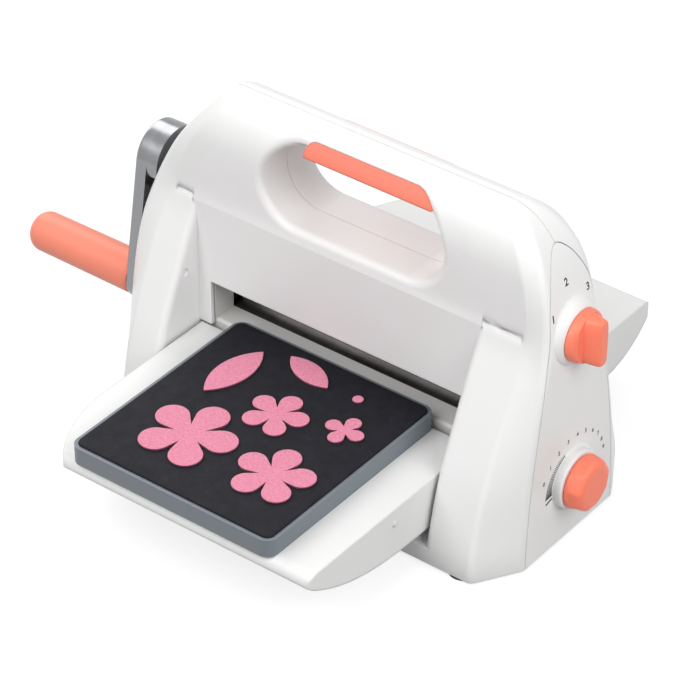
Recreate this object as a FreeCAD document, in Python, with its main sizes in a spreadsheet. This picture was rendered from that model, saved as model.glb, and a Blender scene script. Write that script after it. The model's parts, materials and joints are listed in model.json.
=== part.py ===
import FreeCAD, Part
import Sketcher
import math
import os
from FreeCAD import Placement, Rotation, Vector

# Hand cranked die cutting and embossing machine, in millimetres.
# +X is to the right seen from the front, the front faces -Y and the bench is z = 0.
# The rollers turn about X, the crank is at the left and the two dials are at the right.

doc = FreeCAD.newDocument("die_cutting_machine")
sheet = doc.addObject("Spreadsheet::Sheet", "Dims")

DIMENSIONS = [
    # Housing
    ("foot_gap", 1.5), ("housing_top", 206.5), ("wall", 2.4), ("seam", 0.05), ("edge_round", 5.0),
    ("waist_depth", 24.0), ("flare_depth", 45.5), ("flare_top", 140.0), ("crown_start", 174.0),
    ("side_depth", 21.5), ("side_flare", 21.2), ("side_start", 150.0),
    ("right_reach", 145.0), ("right_shoulder", 95.0), ("left_reach", 137.0), ("left_shoulder", 85.0),
    ("shoulder_start", 90.0), ("flank_width", 16.5), ("flank_top", 6.0), ("levels", 13),
    ("cavity_levels", 7),
    # Recess for the folding flap, and the feed slot
    ("recess_half", 97.5), ("panel_face", 24.8), ("hinge_well", 18.6), ("well_top", 54.6),
    ("sill_top", 12.0), ("pillar_round", 4.0), ("slot_half", 88.5), ("slot_top", 84.5), ("slot_floor", 49.8),
    # Carrying handle
    ("hole_middle", 10.0), ("hole_half", 62.0), ("hole_radius", 24.0), ("hole_height", 169.0),
    ("rim_round", 4.5), ("insert_left", -25.0), ("insert_right", 62.0), ("insert_top", 200.3),
    ("insert_wall", 2.6), ("insert_sag", 6.0),
    # Side covers
    ("cover_proud", 0.15), ("cover_skin", 3.0), ("cover_inset", 2.0), ("cover_gap", 0.3),
    ("cover_shift", 0.2), ("right_cover_top", 189.0), ("left_cover_top", 172.0),
    ("dome_radius", 21.0), ("dome_crown", 16.0), ("dome_base", 139.0), ("dome_top", 147.0),
    ("crank_well", 21.5), ("well_face", 130.0), ("well_rim", 2.5),
    ("boss_radius", 7.0), ("boss_inner", 121.0),
    # Steel frame
    ("frame_inner", 101.0), ("frame_skin", 3.0), ("frame_foot", 46.0), ("frame_head", 18.0),
    ("frame_bottom", 4.0), ("frame_top", 152.0), ("frame_skirt", 52.0), ("frame_hip", 38.0),
    ("frame_hip_height", 80.0), ("frame_neck", 20.0), ("frame_neck_height", 125.0),
    ("flange_width", 9.0), ("flange_hole", 107.0),
    ("flange_hole_depth", 26.0), ("rod_radius", 4.0), ("rod_depth", 14.0), ("rod_height", 128.0),
    # Rollers and bearing blocks
    ("upper_axis", 83.75), ("lower_axis", 46.25), ("roller_radius", 11.9), ("roller_half", 87.9),
    ("journal_radius", 5.0), ("running_gap", 0.08), ("block_half", 10.0), ("block_lip", 12.0),
    ("block_inner", 93.0), ("block_outer", 104.5), ("block_reach", 12.0), ("slide_gap", 0.05),
    ("upper_rise", 2.0), ("lower_drop", 1.2), ("window_gap", 0.25),
    # Gears
    ("coarse_module", 2.5), ("drive_teeth", 30), ("pinion_teeth", 12), ("roller_teeth", 15),
    ("fine_module", 1.25), ("selector_teeth", 16), ("selector_cam_teeth", 34),
    ("dial_teeth", 12), ("dial_cam_teeth", 22), ("gear_face", 7.0), ("fine_face", 5.0),
    ("roller_gear_x", -112.0), ("drive_gear_x", -120.0), ("fine_gear_x", 114.0), ("backlash", 0.12),
    # Adjusting shafts and cams
    ("selector_axis", 138.25), ("selector_cam_axis", 107.0), ("dial_axis", 41.25), ("dial_cam_axis", 20.0),
    ("cam_shaft_radius", 4.0), ("cam_inner", 93.0), ("cam_face", 6.0), ("cam_gap", 0.25),
    ("selector_turn", 90.0), ("dial_turn", 270.0),
    # Knobs
    ("selector_radius", 15.5), ("selector_face", 147.4), ("selector_height", 13.0), ("bar_half", 3.6),
    ("dial_radius", 16.2), ("dial_face", 147.9), ("dial_height", 9.9), ("dial_ring_radius", 20.5),
    ("ring_seat", 145.0), ("ring_face", 147.5), ("dial_spindle_radius", 4.0),
    # Crank
    ("crank_axis", 138.25), ("crank_length", 78.5), ("crank_lean", -14.7), ("hub_radius", 20.0),
    ("arm_end_radius", 13.0), ("arm_outer", -147.0), ("arm_inner", -138.5), ("hub_inner", -131.0),
    ("hub_flat", 9.0), ("crank_shaft_radius", 6.0), ("grip_radius", 12.6), ("grip_end", -226.0),
    ("spindle_radius", 3.0), ("head_radius", 5.5), ("head_depth", 2.6),
    # Flaps
    ("flap_half", 96.0), ("flap_top", 53.8), ("flap_rear", 24.85), ("front_reach", 168.8),
    ("rear_reach", 152.0), ("flap_nose", 6.5), ("flap_sweep", 97.0), ("sweep_length", 58.8),
    ("right_corner", 4.0), ("left_corner", 6.0), ("belly_start", 62.0), ("belly_rise", 24.3),
    ("front_belly", 2.9), ("rear_belly", 4.5), ("flap_plate", 3.0),
    ("hinge_depth", 41.0), ("hinge_height", 39.0), ("hinge_round", 17.5), ("hinge_pin_radius", 2.5),
    ("hinge_boss_radius", 6.0), ("hinge_boss_inner", 89.5), ("detent_depth", 95.0), ("detent_height", 44.0),
    # Feed bed
    ("bed_top", 57.5), ("bed_skin", 2.5), ("bed_front", 21.5), ("bed_half", 88.3), ("cheek_skin", 2.4),
    ("cheek_top", 86.0), ("nip_gap", 0.35), ("peg_depth", 16.5), ("peg_height", 65.0), ("peg_radius", 2.0),
    # Cutting die
    ("die_half", 69.85), ("die_far", 22.2), ("die_near", 169.6), ("tray_height", 11.2),
    ("tray_skin", 2.5), ("rim", 2.2), ("foam_proud", 1.6), ("felt_thickness", 1.3), ("die_corner", 7.0),
    # Base
    ("base_skin", 2.5), ("base_gap", 0.8), ("foot_radius", 9.0), ("foot_depth", 60.5),
    ("foot_right", 118.0), ("foot_left", -110.0),
]

for row, (alias, size) in enumerate(DIMENSIONS, 1):
    sheet.set("A%d" % row, alias)
    sheet.set("B%d" % row, str(size))
    sheet.setAlias("B%d" % row, alias)
doc.recompute()


def size(alias):
    """The value of one named dimension."""
    return float(getattr(sheet, alias))


# General helpers

def add_body(label, depth="0", height="0"):
    """A body whose own X axis lies at the given depth and height."""
    body = doc.addObject("PartDesign::Body", label)
    body.setExpression("Placement.Base.y", depth)
    body.setExpression("Placement.Base.z", height)
    return body


def add_sketch(body, role, label, offset="0"):
    """A sketch on one of the body's own planes, moved along the plane's normal."""
    sketch = body.newObject("Sketcher::SketchObject", label)
    plane = [item for item in body.Origin.OriginFeatures if item.Role == role][0]
    sketch.AttachmentSupport = [(plane, "")]
    sketch.MapMode = "FlatFace"
    sketch.setExpression("AttachmentOffset.Base.z", offset)
    return sketch


def draw_outline(sketch, points):
    """A closed outline of straight lines, each corner held by two named distances."""
    first = sketch.GeometryCount
    values = [[float(sketch.evalExpression(term)) for term in point] for point in points]
    count = len(points)
    for index in range(count):
        start = Vector(*values[index], 0)
        end = Vector(*values[(index + 1) % count], 0)
        sketch.addGeometry(Part.LineSegment(start, end), False)
    for index in range(count):
        here = first + index
        after = first + (index + 1) % count
        sketch.addConstraint(Sketcher.Constraint("Coincident", here, 2, after, 1))
        for axis, term, value in zip("XY", points[index], values[index]):
            held = sketch.addConstraint(Sketcher.Constraint("Distance" + axis, -1, 1, here, 1, value))
            sketch.setExpression("Constraints[%d]" % held, term)


def rectangle(half, low, high):
    """The corners of a rectangle that is even about the upright axis."""
    left = "-1 * (%s)" % half
    return [(left, low), (half, low), (half, high), (left, high)]


def draw_circle(sketch, across, up, radius):
    """A circle held by its centre's distances and its radius."""
    values = [float(sketch.evalExpression(term)) for term in (across, up, radius)]
    ring = Part.Circle(Vector(values[0], values[1], 0), Vector(0, 0, 1), values[2])
    circle = sketch.addGeometry(ring, False)
    for kind, term, value in (("DistanceX", across, values[0]), ("DistanceY", up, values[1])):
        held = sketch.addConstraint(Sketcher.Constraint(kind, -1, 1, circle, 3, value))
        sketch.setExpression("Constraints[%d]" % held, term)
    held = sketch.addConstraint(Sketcher.Constraint("Radius", circle, values[2]))
    sketch.setExpression("Constraints[%d]" % held, radius)


def add_pad(body, sketch, length):
    """The sketch raised along its plane's normal."""
    pad = body.newObject("PartDesign::Pad", sketch.Label + "_pad")
    pad.Profile = sketch
    pad.setExpression("Length", length)
    doc.recompute()
    return pad


def add_pocket(body, sketch):
    """A cut right through the body, both ways from the sketch."""
    pocket = body.newObject("PartDesign::Pocket", sketch.Label + "_cut")
    pocket.Profile = sketch
    pocket.Type = "ThroughAll"
    pocket.Midplane = True
    doc.recompute()
    return pocket


def add_polar(body, feature, sketch, count):
    """The feature repeated round the X axis."""
    pattern = body.newObject("PartDesign::PolarPattern", feature.Label + "_ring")
    pattern.Originals = [feature]
    pattern.Axis = (sketch, ["N_Axis"])
    pattern.Angle = 360
    pattern.setExpression("Occurrences", count)
    body.Tip = pattern
    doc.recompute()
    return pattern


def turned(label, depth, height, points):
    """A body turned about its own X axis from an outline of (x, radius) corners."""
    body = add_body(label, depth, height)
    sketch = add_sketch(body, "XY_Plane", label + "_profile")
    draw_outline(sketch, points)
    turning = body.newObject("PartDesign::Revolution", label + "_turning")
    turning.Profile = sketch
    turning.ReferenceAxis = (sketch, ["H_Axis"])
    turning.Angle = 360
    doc.recompute()
    return body


def add_mirror(body, originals):
    """The features repeated on the other side of the machine's middle plane."""
    plane = [item for item in body.Origin.OriginFeatures if item.Role == "YZ_Plane"][0]
    mirror = body.newObject("PartDesign::Mirrored", body.Label + "_pair")
    mirror.Originals = originals
    mirror.MirrorPlane = (plane, [""])
    body.Tip = mirror
    doc.recompute()
    return mirror


def add_shape(label, shape, placement=None):
    """A piece formed by surfaces, with its own placement."""
    piece = doc.addObject("Part::Feature", label)
    piece.Shape = shape
    if placement is not None:
        piece.Placement = placement
    return piece


def rod(radius, start, end, depth, height):
    """A cylinder along X."""
    return Part.makeCylinder(radius, end - start, Vector(start, depth, height), Vector(1, 0, 0))


def block(x_range, y_range, z_range):
    """A box between three pairs of limits."""
    return Part.makeBox(x_range[1] - x_range[0], y_range[1] - y_range[0], z_range[1] - z_range[0],
                        Vector(x_range[0], y_range[0], z_range[0]))


def mirrored_y(shape):
    """The shape's image at the rear of the machine."""
    return shape.mirror(Vector(0, 0, 0), Vector(0, 1, 0))


# Housing form: level sections with eight sides, whose reach follows smooth curves of height

TOP = size("housing_top")


def crown(height, start):
    """Falls from one at the start height to nothing at the top, as a quarter ellipse."""
    if height <= start:
        return 1.0
    return math.sqrt(max(0.0, 1 - ((height - start) / (TOP - start)) ** 2))


def shoulder(height):
    """Rises evenly from nothing where the shoulders start to one at the top."""
    return max(0.0, (height - size("shoulder_start")) / (TOP - size("shoulder_start")))


def front_depth(height):
    """The pillars flare towards the bench, then stand upright and round over at the crown."""
    flare = 0.0
    if height < size("flare_top"):
        flare = size("flare_depth") * math.cos(math.pi / 2 * height / size("flare_top")) ** 1.2
    return size("waist_depth") * crown(height, size("crown_start")) + flare


def cover_depth(height):
    """Half the depth of the side faces, which widen towards the bench."""
    flare = size("side_flare") * math.cos(math.pi / 2 * min(1.0, height / size("side_start")))
    return size("side_depth") * crown(height, size("side_start")) + flare


def right_reach(height):
    """How far the right side stands out, drawn in at a round shoulder."""
    spread = size("right_reach") - size("right_shoulder")
    return size("right_shoulder") + spread * (1 - shoulder(height) ** 3) ** 0.42


def left_reach(height):
    """How far the left side stands out, drawn in at a long sloping shoulder."""
    spread = size("left_reach") - size("left_shoulder")
    return size("left_shoulder") + spread * (1 - shoulder(height) ** 2.3)


def flank(height):
    """The width of the slanting face between the front and a side."""
    return size("flank_top") + (size("flank_width") - size("flank_top")) * (1 - shoulder(height) ** 2)


def rounded_outline(corners, radius):
    """A closed wire of straight sides joined by arcs of one radius."""
    arcs = []
    for index, corner in enumerate(corners):
        back = (corners[index - 1] - corner).normalize()
        ahead = (corners[(index + 1) % len(corners)] - corner).normalize()
        half = back.getAngle(ahead) / 2
        inward = (back + ahead).normalize()
        reach = radius / math.tan(half)
        middle = corner + inward * (radius / math.sin(half) - radius)
        arcs.append((corner + back * reach, middle, corner + ahead * reach))
    edges = []
    for index, (start, middle, end) in enumerate(arcs):
        edges.append(Part.Arc(start, middle, end).toShape())
        edges.append(Part.makeLine(end, arcs[(index + 1) % len(arcs)][0]))
    return Part.Wire(edges)


def housing_section(height, inset):
    """The housing's eight sided section at one height, drawn in by the inset."""
    depth = front_depth(height) - inset
    cover = cover_depth(height) - inset * 0.8
    right = right_reach(height) - inset
    left = inset - left_reach(height)
    run = flank(height)
    radius = max(0.6, min(size("edge_round"), 0.5 * cover, 0.5 * depth))
    front = [Vector(left, -cover, height), Vector(left + run, -depth, height),
             Vector(right - run, -depth, height), Vector(right, -cover, height)]
    rear = [Vector(corner.x, -corner.y, height) for corner in reversed(front)]
    return rounded_outline(front + rear, radius)


def level_heights(bottom, top, count):
    """Heights that lie closer together towards the top."""
    return [bottom + (top - bottom) * math.sin(math.pi / 2 * step / count) for step in range(count + 1)]


def housing_form(inset, heights, ruled=False):
    """The housing's body lofted through its sections."""
    return Part.makeLoft([housing_section(height, inset) for height in heights], True, ruled)


def hand_hole(margin):
    """A long hole with round ends, right through along Y."""
    radius = size("hole_radius") + margin
    reach = size("hole_half") - size("hole_radius")
    middle = size("hole_middle")
    height = size("hole_height")
    ends = [Part.makeCylinder(radius, 160, Vector(middle + side * reach, -80, height), Vector(0, 1, 0))
            for side in (-1, 1)]
    core = block((middle - reach, middle + reach), (-80, 80), (height - radius, height + radius))
    return ends[0].fuse([ends[1], core]).removeSplitter()


def recess(margin):
    """The space a folded flap fills at the front, with a deeper well round its hinge."""
    half = size("recess_half") + margin
    floor = size("sill_top") - margin
    upper = block((-half, half), (-90, margin - size("panel_face")), (floor, TOP))
    well = block((-half, half), (-90, margin - size("hinge_well")), (floor, size("well_top") + margin))
    return upper.fuse(well)


def both_ends(shape):
    """The shape with its image at the rear."""
    return shape.fuse(mirrored_y(shape))


BOSSES = [(-66.0, 137.0), (80.0, 137.0), (-84.0, 176.0), (98.0, 176.0)]
POSTS = [(-60.0, 56.0), (60.0, 56.0)]


def screw_boss(radius, start, end, place):
    """A cylinder along Y at a place given by x and z."""
    return Part.makeCylinder(radius, end - start, Vector(place[0], start, place[1]), Vector(0, 1, 0))


def pillar_edges(shape):
    """The edges where the recess walls meet the flaring pillar faces."""
    half = size("recess_half")
    found = []
    for edge in shape.Edges:
        box = edge.BoundBox
        upright = abs(abs(box.XMin) - half) < 0.01 and box.XLength < 0.01 and box.ZLength > 60
        if upright and max(abs(box.YMin), abs(box.YMax)) > 50:
            found.append(edge)
    return found


def rim_edges(shape):
    """The edges where the hand hole breaks through the front and rear faces."""
    reach = size("hole_half")
    found = []
    for edge in shape.Edges:
        box = edge.BoundBox
        inside = box.XMin > size("hole_middle") - reach - 1 and box.XMax < size("hole_middle") + reach + 1
        level = abs(box.Center.z - size("hole_height")) <= size("hole_radius") + 0.5
        if inside and level and abs(box.Center.y) > 12 and box.YLength < 12:
            found.append(edge)
    return found


def cover_outline(side, inset):
    """The closed outline of a side cover, seen from the side."""
    bottom = size("foot_gap")
    height_top = size(side + "_cover_top") - inset + size("cover_inset")
    count = 9
    front = []
    for height in level_heights(bottom, height_top, count)[:-1]:
        over = max(0.0, height / height_top - 0.8) / 0.2
        reach = (cover_depth(height) - inset) * math.sqrt(1 - over ** 2)
        front.append(Vector(0, -reach, height))
    rear = [Vector(0, -point.y, point.z) for point in reversed(front)]
    curve = Part.BSplineCurve()
    curve.interpolate(front + [Vector(0, 0, height_top)] + rear)
    wire = Part.Wire([curve.toShape(), Part.makeLine(rear[-1], front[0])])
    return Part.Face(wire)


def cover_prism(side, inset, start, end, shift=0.0):
    """The cover's outline swept along X. A shift to the front leaves the wider seam at the rear."""
    face = cover_outline(side, inset)
    face.translate(Vector(start, -shift, 0))
    return face.extrude(Vector(end - start, 0, 0))


def moved(shape, x):
    """A copy moved along X."""
    copy = shape.copy()
    copy.translate(Vector(x, 0, 0))
    return copy


def cover_space(outer, side, sign):
    """The room inside a cover's outer surface and outline."""
    proud = moved(outer, sign * size("cover_proud"))
    prism = cover_prism(side, size("cover_inset"), sign * 80, sign * 160, size("cover_shift"))
    return proud.common(prism)


def cover_inside(outer, sign):
    """The outer surface moved inwards by a cover's thickness."""
    return moved(outer, -sign * (size("cover_skin") - size("cover_proud")))


def x_disc(radius, start, end, height):
    """A cylinder along X at mid depth."""
    return rod(radius, start, end, 0, height)


def build_right_panel(outer):
    """The panel that carries both dials: a domed seat above and a shallow ring seat below."""
    upper = size("selector_axis")
    lower = size("dial_axis")
    radius = size("dome_radius")
    crown_radius = size("dome_crown")
    base = size("dome_base")
    top = size("dome_top")
    rise = Part.Arc(Vector(base, radius, 0), Vector(top - 1.6, radius - 2.6, 0), Vector(top, crown_radius, 0))
    profile = [Part.makeLine(Vector(base, 0, 0), Vector(base, radius, 0)),
               rise.toShape(),
               Part.makeLine(Vector(top, crown_radius, 0), Vector(top, 0, 0)),
               Part.makeLine(Vector(top, 0, 0), Vector(base, 0, 0))]
    dome = Part.Face(Part.Wire(profile)).revolve(Vector(0, 0, 0), Vector(1, 0, 0), 360)
    dome.translate(Vector(0, 0, upper))
    skin = cover_space(outer, "right", 1).cut(cover_inside(outer, 1))
    bosses = [x_disc(size("boss_radius"), size("boss_inner"), base + 4, height) for height in (upper, lower)]
    panel = skin.fuse([dome] + bosses)
    bore = size("dial_spindle_radius") + size("running_gap")
    cutters = [x_disc(bore, 110, 160, height) for height in (upper, lower)]
    cutters.append(x_disc(size("dial_ring_radius") + 0.05, size("ring_seat"), 160, lower))
    add_shape("right_side_panel", panel.cut(cutters))


def build_left_cover(outer):
    """The crank side cover, with a round well and a bearing hole for the crank hub."""
    axis = size("crank_axis")
    face = -size("well_face")
    well = size("crank_well")
    space = cover_space(outer, "left", -1)
    inside = cover_inside(outer, -1)
    rim = x_disc(well + size("well_rim"), face, face + 14, axis).common(space).cut(inside)
    floor = x_disc(well + size("well_rim"), face, face + 2.6, axis).common(space)
    cover = space.cut(inside).fuse([rim, floor])
    cutters = [x_disc(well, -170, face, axis)]
    cutters.append(x_disc(size("crank_shaft_radius") + 0.3, -170, -100, axis))
    add_shape("left_side_cover", cover.cut(cutters))


def build_base():
    """The floor plate screwed under the shells, and its four round feet."""
    bottom = size("foot_gap")
    top = bottom + size("base_skin")
    section = housing_section(top, size("wall") + size("base_gap"))
    section.translate(Vector(0, 0, -size("base_skin")))
    plate = Part.Face(section).extrude(Vector(0, 0, size("base_skin")))
    feet = []
    for across in (size("foot_left"), size("foot_right")):
        for side in (-1, 1):
            centre = Vector(across, side * size("foot_depth"), 0)
            plate = plate.cut(Part.makeCylinder(3.0, 10, centre))
            pad = Part.makeCylinder(size("foot_radius"), bottom, centre)
            stem = Part.makeCylinder(3.0, top, centre)
            feet.append(pad.fuse(stem))
    screws = []
    hole = size("flange_hole")
    for across, depth in POSTS + [(-hole, size("flange_hole_depth")), (hole, size("flange_hole_depth"))]:
        for side in (-1, 1):
            centre = Vector(across, side * depth, bottom)
            plate = plate.cut([Part.makeCylinder(3.2, 1.4, centre), Part.makeCylinder(1.5, 10, centre)])
            head = Part.makeCylinder(3.1, 1.2, centre + Vector(0, 0, 0.2))
            screws.append(head.fuse(Part.makeCylinder(1.5, 5.8, centre + Vector(0, 0, 0.2))))
    add_shape("base_plate", plate)
    add_shape("rubber_feet", Part.makeCompound(feet))
    add_shape("base_screws", Part.makeCompound(screws))


# Steel frame: two windowed plates held apart by rods

def frame_plate(label, start, flange_start):
    """A side plate with windows for the bearing blocks and a foot flange turned outwards."""
    plate = add_body(label)
    sketch = add_sketch(plate, "YZ_Plane", label + "_outline", start)
    right = [("Dims.frame_foot", "Dims.frame_bottom"), ("Dims.frame_foot", "Dims.frame_skirt"),
             ("Dims.frame_hip", "Dims.frame_hip_height"), ("Dims.frame_neck", "Dims.frame_neck_height"),
             ("Dims.frame_head", "Dims.frame_top")]
    left = [("-1 * " + across, up) for across, up in reversed(right)]
    draw_outline(sketch, right + left)
    add_pad(plate, sketch, "Dims.frame_skin")
    flange = add_sketch(plate, "YZ_Plane", label + "_flange", flange_start)
    edge = "Dims.frame_foot - 2"
    low = "Dims.frame_bottom"
    high = "Dims.frame_bottom + Dims.frame_skin"
    draw_outline(flange, rectangle(edge, low, high))
    add_pad(plate, flange, "Dims.flange_width")
    openings = add_sketch(plate, "YZ_Plane", label + "_openings", start)
    half = "Dims.block_half + Dims.slide_gap"
    reach = "Dims.block_reach + Dims.window_gap"
    windows = [("Dims.upper_axis - (%s)" % reach, "Dims.upper_axis + %s + Dims.upper_rise" % reach),
               ("Dims.lower_axis - (%s) - Dims.lower_drop" % reach, "Dims.lower_axis + " + reach)]
    for low, high in windows:
        draw_outline(openings, rectangle(half, low, high))
    for height in ("Dims.selector_cam_axis", "Dims.dial_cam_axis"):
        draw_circle(openings, "0", height, "Dims.cam_shaft_radius + Dims.running_gap")
    if start.startswith("-"):
        draw_circle(openings, "0", "Dims.crank_axis", "Dims.crank_shaft_radius + Dims.running_gap")
    for side in ("-1", "1"):
        draw_circle(openings, side + " * Dims.rod_depth", "Dims.rod_height", "2")
        draw_circle(openings, side + " * Dims.hinge_depth", "Dims.hinge_height", "Dims.hinge_pin_radius")
        draw_circle(openings, side + " * Dims.peg_depth", "Dims.peg_height", "Dims.peg_radius")
    add_pocket(plate, openings)
    holes = add_sketch(plate, "XY_Plane", label + "_feet")
    middle = "-1 * Dims.flange_hole" if start.startswith("-") else "Dims.flange_hole"
    for side in ("-1", "1"):
        draw_circle(holes, middle, side + " * Dims.flange_hole_depth", "1.5")
    add_pocket(plate, holes)
    return plate


def build_frame():
    """Both frame plates, the rods between them and the hinge pins they carry."""
    frame_plate("right_frame_plate", "Dims.frame_inner", "Dims.frame_inner")
    frame_plate("left_frame_plate", "-1 * (Dims.frame_inner + Dims.frame_skin)",
                "-1 * (Dims.frame_inner + Dims.flange_width)")
    rods = []
    screws = []
    inner = size("frame_inner")
    outer = inner + size("frame_skin")
    for side in (-1, 1):
        depth = side * size("rod_depth")
        height = size("rod_height")
        spacer = rod(size("rod_radius"), -inner, inner, depth, height)
        for end in (-1, 1):
            near = min(end * (inner - 10), end * outer)
            shank = rod(2.0, near, near + 13, depth, height)
            spacer = spacer.cut(shank)
            head_ends = sorted((end * outer, end * (outer + 2.4)))
            head = rod(4.0, head_ends[0], head_ends[1], depth, height)
            screws.append(shank.fuse(head))
        rods.append(spacer)
    add_shape("tie_rods", Part.makeCompound(rods))
    add_shape("tie_rod_screws", Part.makeCompound(screws))
    pins = []
    for side in (-1, 1):
        for depth in (-size("hinge_depth"), size("hinge_depth")):
            ends = sorted((side * 90.5, side * outer))
            pins.append(rod(size("hinge_pin_radius"), ends[0], ends[1], depth, size("hinge_height")))
    add_shape("hinge_pins", Part.makeCompound(pins))


# Feed bed: a plate with a rounded front edge between two guide cheeks

def build_bed(label, turn):
    """One half of the bed, with the pegs that hold it between the frame plates."""
    bed = add_body(label)
    bed.Placement = Placement(Vector(0, 0, 0), Rotation(Vector(0, 0, 1), turn))
    table = add_sketch(bed, "YZ_Plane", label + "_section", "-1 * Dims.bed_half")
    front = "-1 * Dims.bed_front"
    under = "Dims.bed_top - Dims.bed_skin"
    reach = "(Dims.roller_radius + Dims.running_gap + Dims.nip_gap + 0.35)"
    nip = "-1 * sqrt(%s * %s - (%s - Dims.lower_axis) * (%s - Dims.lower_axis))"
    foot = "Dims.slot_floor + 0.3"
    draw_outline(table, [
        (front, "Dims.bed_top"),
        (front, foot),
        (front + " + Dims.bed_skin", foot),
        (front + " + Dims.bed_skin", under),
        (nip % (reach, reach, under, under), under),
        (nip % (reach, reach, "Dims.bed_top", "Dims.bed_top"), "Dims.bed_top")])
    pad = add_pad(bed, table, "2 * Dims.bed_half")
    edges = []
    for index, edge in enumerate(pad.Shape.Edges, 1):
        box = edge.BoundBox
        foremost = abs(box.YMin + size("bed_front")) < 0.01 and box.YLength < 0.01
        if foremost and abs(box.ZMin - size("bed_top")) < 0.01:
            edges.append("Edge%d" % index)
    rounding = bed.newObject("PartDesign::Fillet", label + "_rounding")
    rounding.Base = (pad, edges)
    rounding.Radius = 2.0
    doc.recompute()
    cheek = add_sketch(bed, "YZ_Plane", label + "_cheek", "Dims.bed_half - 0.3")
    back = "-1 * (Dims.journal_radius + 0.6)"
    draw_outline(cheek, [(front, foot), (back, foot), (back, "Dims.cheek_top"), (front, "Dims.cheek_top")])
    cheek_pad = add_pad(bed, cheek, "Dims.cheek_skin + 0.3")
    peg_place = ("-1 * Dims.peg_depth", "Dims.peg_height")
    boss = add_sketch(bed, "YZ_Plane", label + "_boss", "Dims.bed_half + 1")
    draw_circle(boss, *peg_place, "Dims.peg_radius + 1.5")
    boss_pad = add_pad(bed, boss, "Dims.frame_inner - Dims.bed_half - 1")
    peg = add_sketch(bed, "YZ_Plane", label + "_peg", "Dims.bed_half + 1")
    draw_circle(peg, *peg_place, "Dims.peg_radius")
    peg_pad = add_pad(bed, peg, "Dims.frame_inner + Dims.frame_skin - Dims.bed_half - 1")
    add_mirror(bed, [cheek_pad, boss_pad, peg_pad])


# Rollers and their sliding bearing blocks

def build_rollers():
    """Each roller with its stepped journals and the two lipped blocks it turns in."""
    for name, left in (("upper", "Dims.drive_gear_x"), ("lower", "Dims.roller_gear_x")):
        turned(name + "_roller", "0", "Dims." + name + "_axis", [
            (left, "0"), (left, "Dims.journal_radius"), ("-1 * Dims.roller_half", "Dims.journal_radius"),
            ("-1 * Dims.roller_half", "Dims.roller_radius"), ("Dims.roller_half", "Dims.roller_radius"),
            ("Dims.roller_half", "Dims.journal_radius"), ("Dims.block_outer + 1", "Dims.journal_radius"),
            ("Dims.block_outer + 1", "0")])
        blocks = add_body(name + "_bearing_blocks", "0", "Dims." + name + "_axis")
        blocks.AllowCompound = True
        core = add_sketch(blocks, "YZ_Plane", name + "_block_core", "Dims.block_inner")
        draw_outline(core, rectangle("Dims.block_half", "-1 * Dims.block_reach", "Dims.block_reach"))
        core_pad = add_pad(blocks, core, "Dims.block_outer - Dims.block_inner")
        lip = add_sketch(blocks, "YZ_Plane", name + "_block_lip", "Dims.block_inner")
        draw_outline(lip, rectangle("Dims.block_lip", "-1 * Dims.block_reach", "Dims.block_reach"))
        lip_pad = add_pad(blocks, lip, "Dims.frame_inner - Dims.block_inner - 0.2")
        add_mirror(blocks, [core_pad, lip_pad])
        bore = add_sketch(blocks, "YZ_Plane", name + "_block_bore")
        draw_circle(bore, "0", "0", "Dims.journal_radius + Dims.running_gap")
        add_pocket(blocks, bore)


# Gears: straight sided teeth a little thinner than the pitch calls for

def build_gear(label, height, start, face, module, teeth, bore, turn, spokes=0):
    """A gear about X: a disc, one tooth repeated round it, and lightening holes if asked for."""
    gear = add_body(label, "0", height)
    gear.Placement = Placement(gear.Placement.Base, Rotation(Vector(1, 0, 0), 10))
    gear.setExpression("Placement.Rotation.Angle", turn)
    pitch = "(%s * %s / 2)" % (module, teeth)
    disc = add_sketch(gear, "YZ_Plane", label + "_disc", start)
    draw_circle(disc, "0", "0", "%s - %s" % (pitch, module))
    draw_circle(disc, "0", "0", bore)
    add_pad(gear, disc, face)
    tooth = add_sketch(gear, "YZ_Plane", label + "_tooth", start)
    root = ("0.72 * %s - Dims.backlash / 2" % module, "%s - 1.25 * %s" % (pitch, module))
    flank = ("0.775 * %s - Dims.backlash / 2" % module, pitch)
    tip = ("0.38 * %s" % module, "%s + 0.85 * %s" % (pitch, module))
    side = [root, flank, tip]
    draw_outline(tooth, side + [("-1 * (" + across + ")", up) for across, up in reversed(side)])
    tooth_pad = add_pad(gear, tooth, face)
    add_polar(gear, tooth_pad, tooth, teeth)
    if spokes:
        hole = add_sketch(gear, "YZ_Plane", label + "_lightening", start)
        draw_circle(hole, "0", "0.55 * " + pitch, "0.17 * " + pitch)
        cut = add_pocket(gear, hole)
        add_polar(gear, cut, hole, str(spokes))


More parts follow.
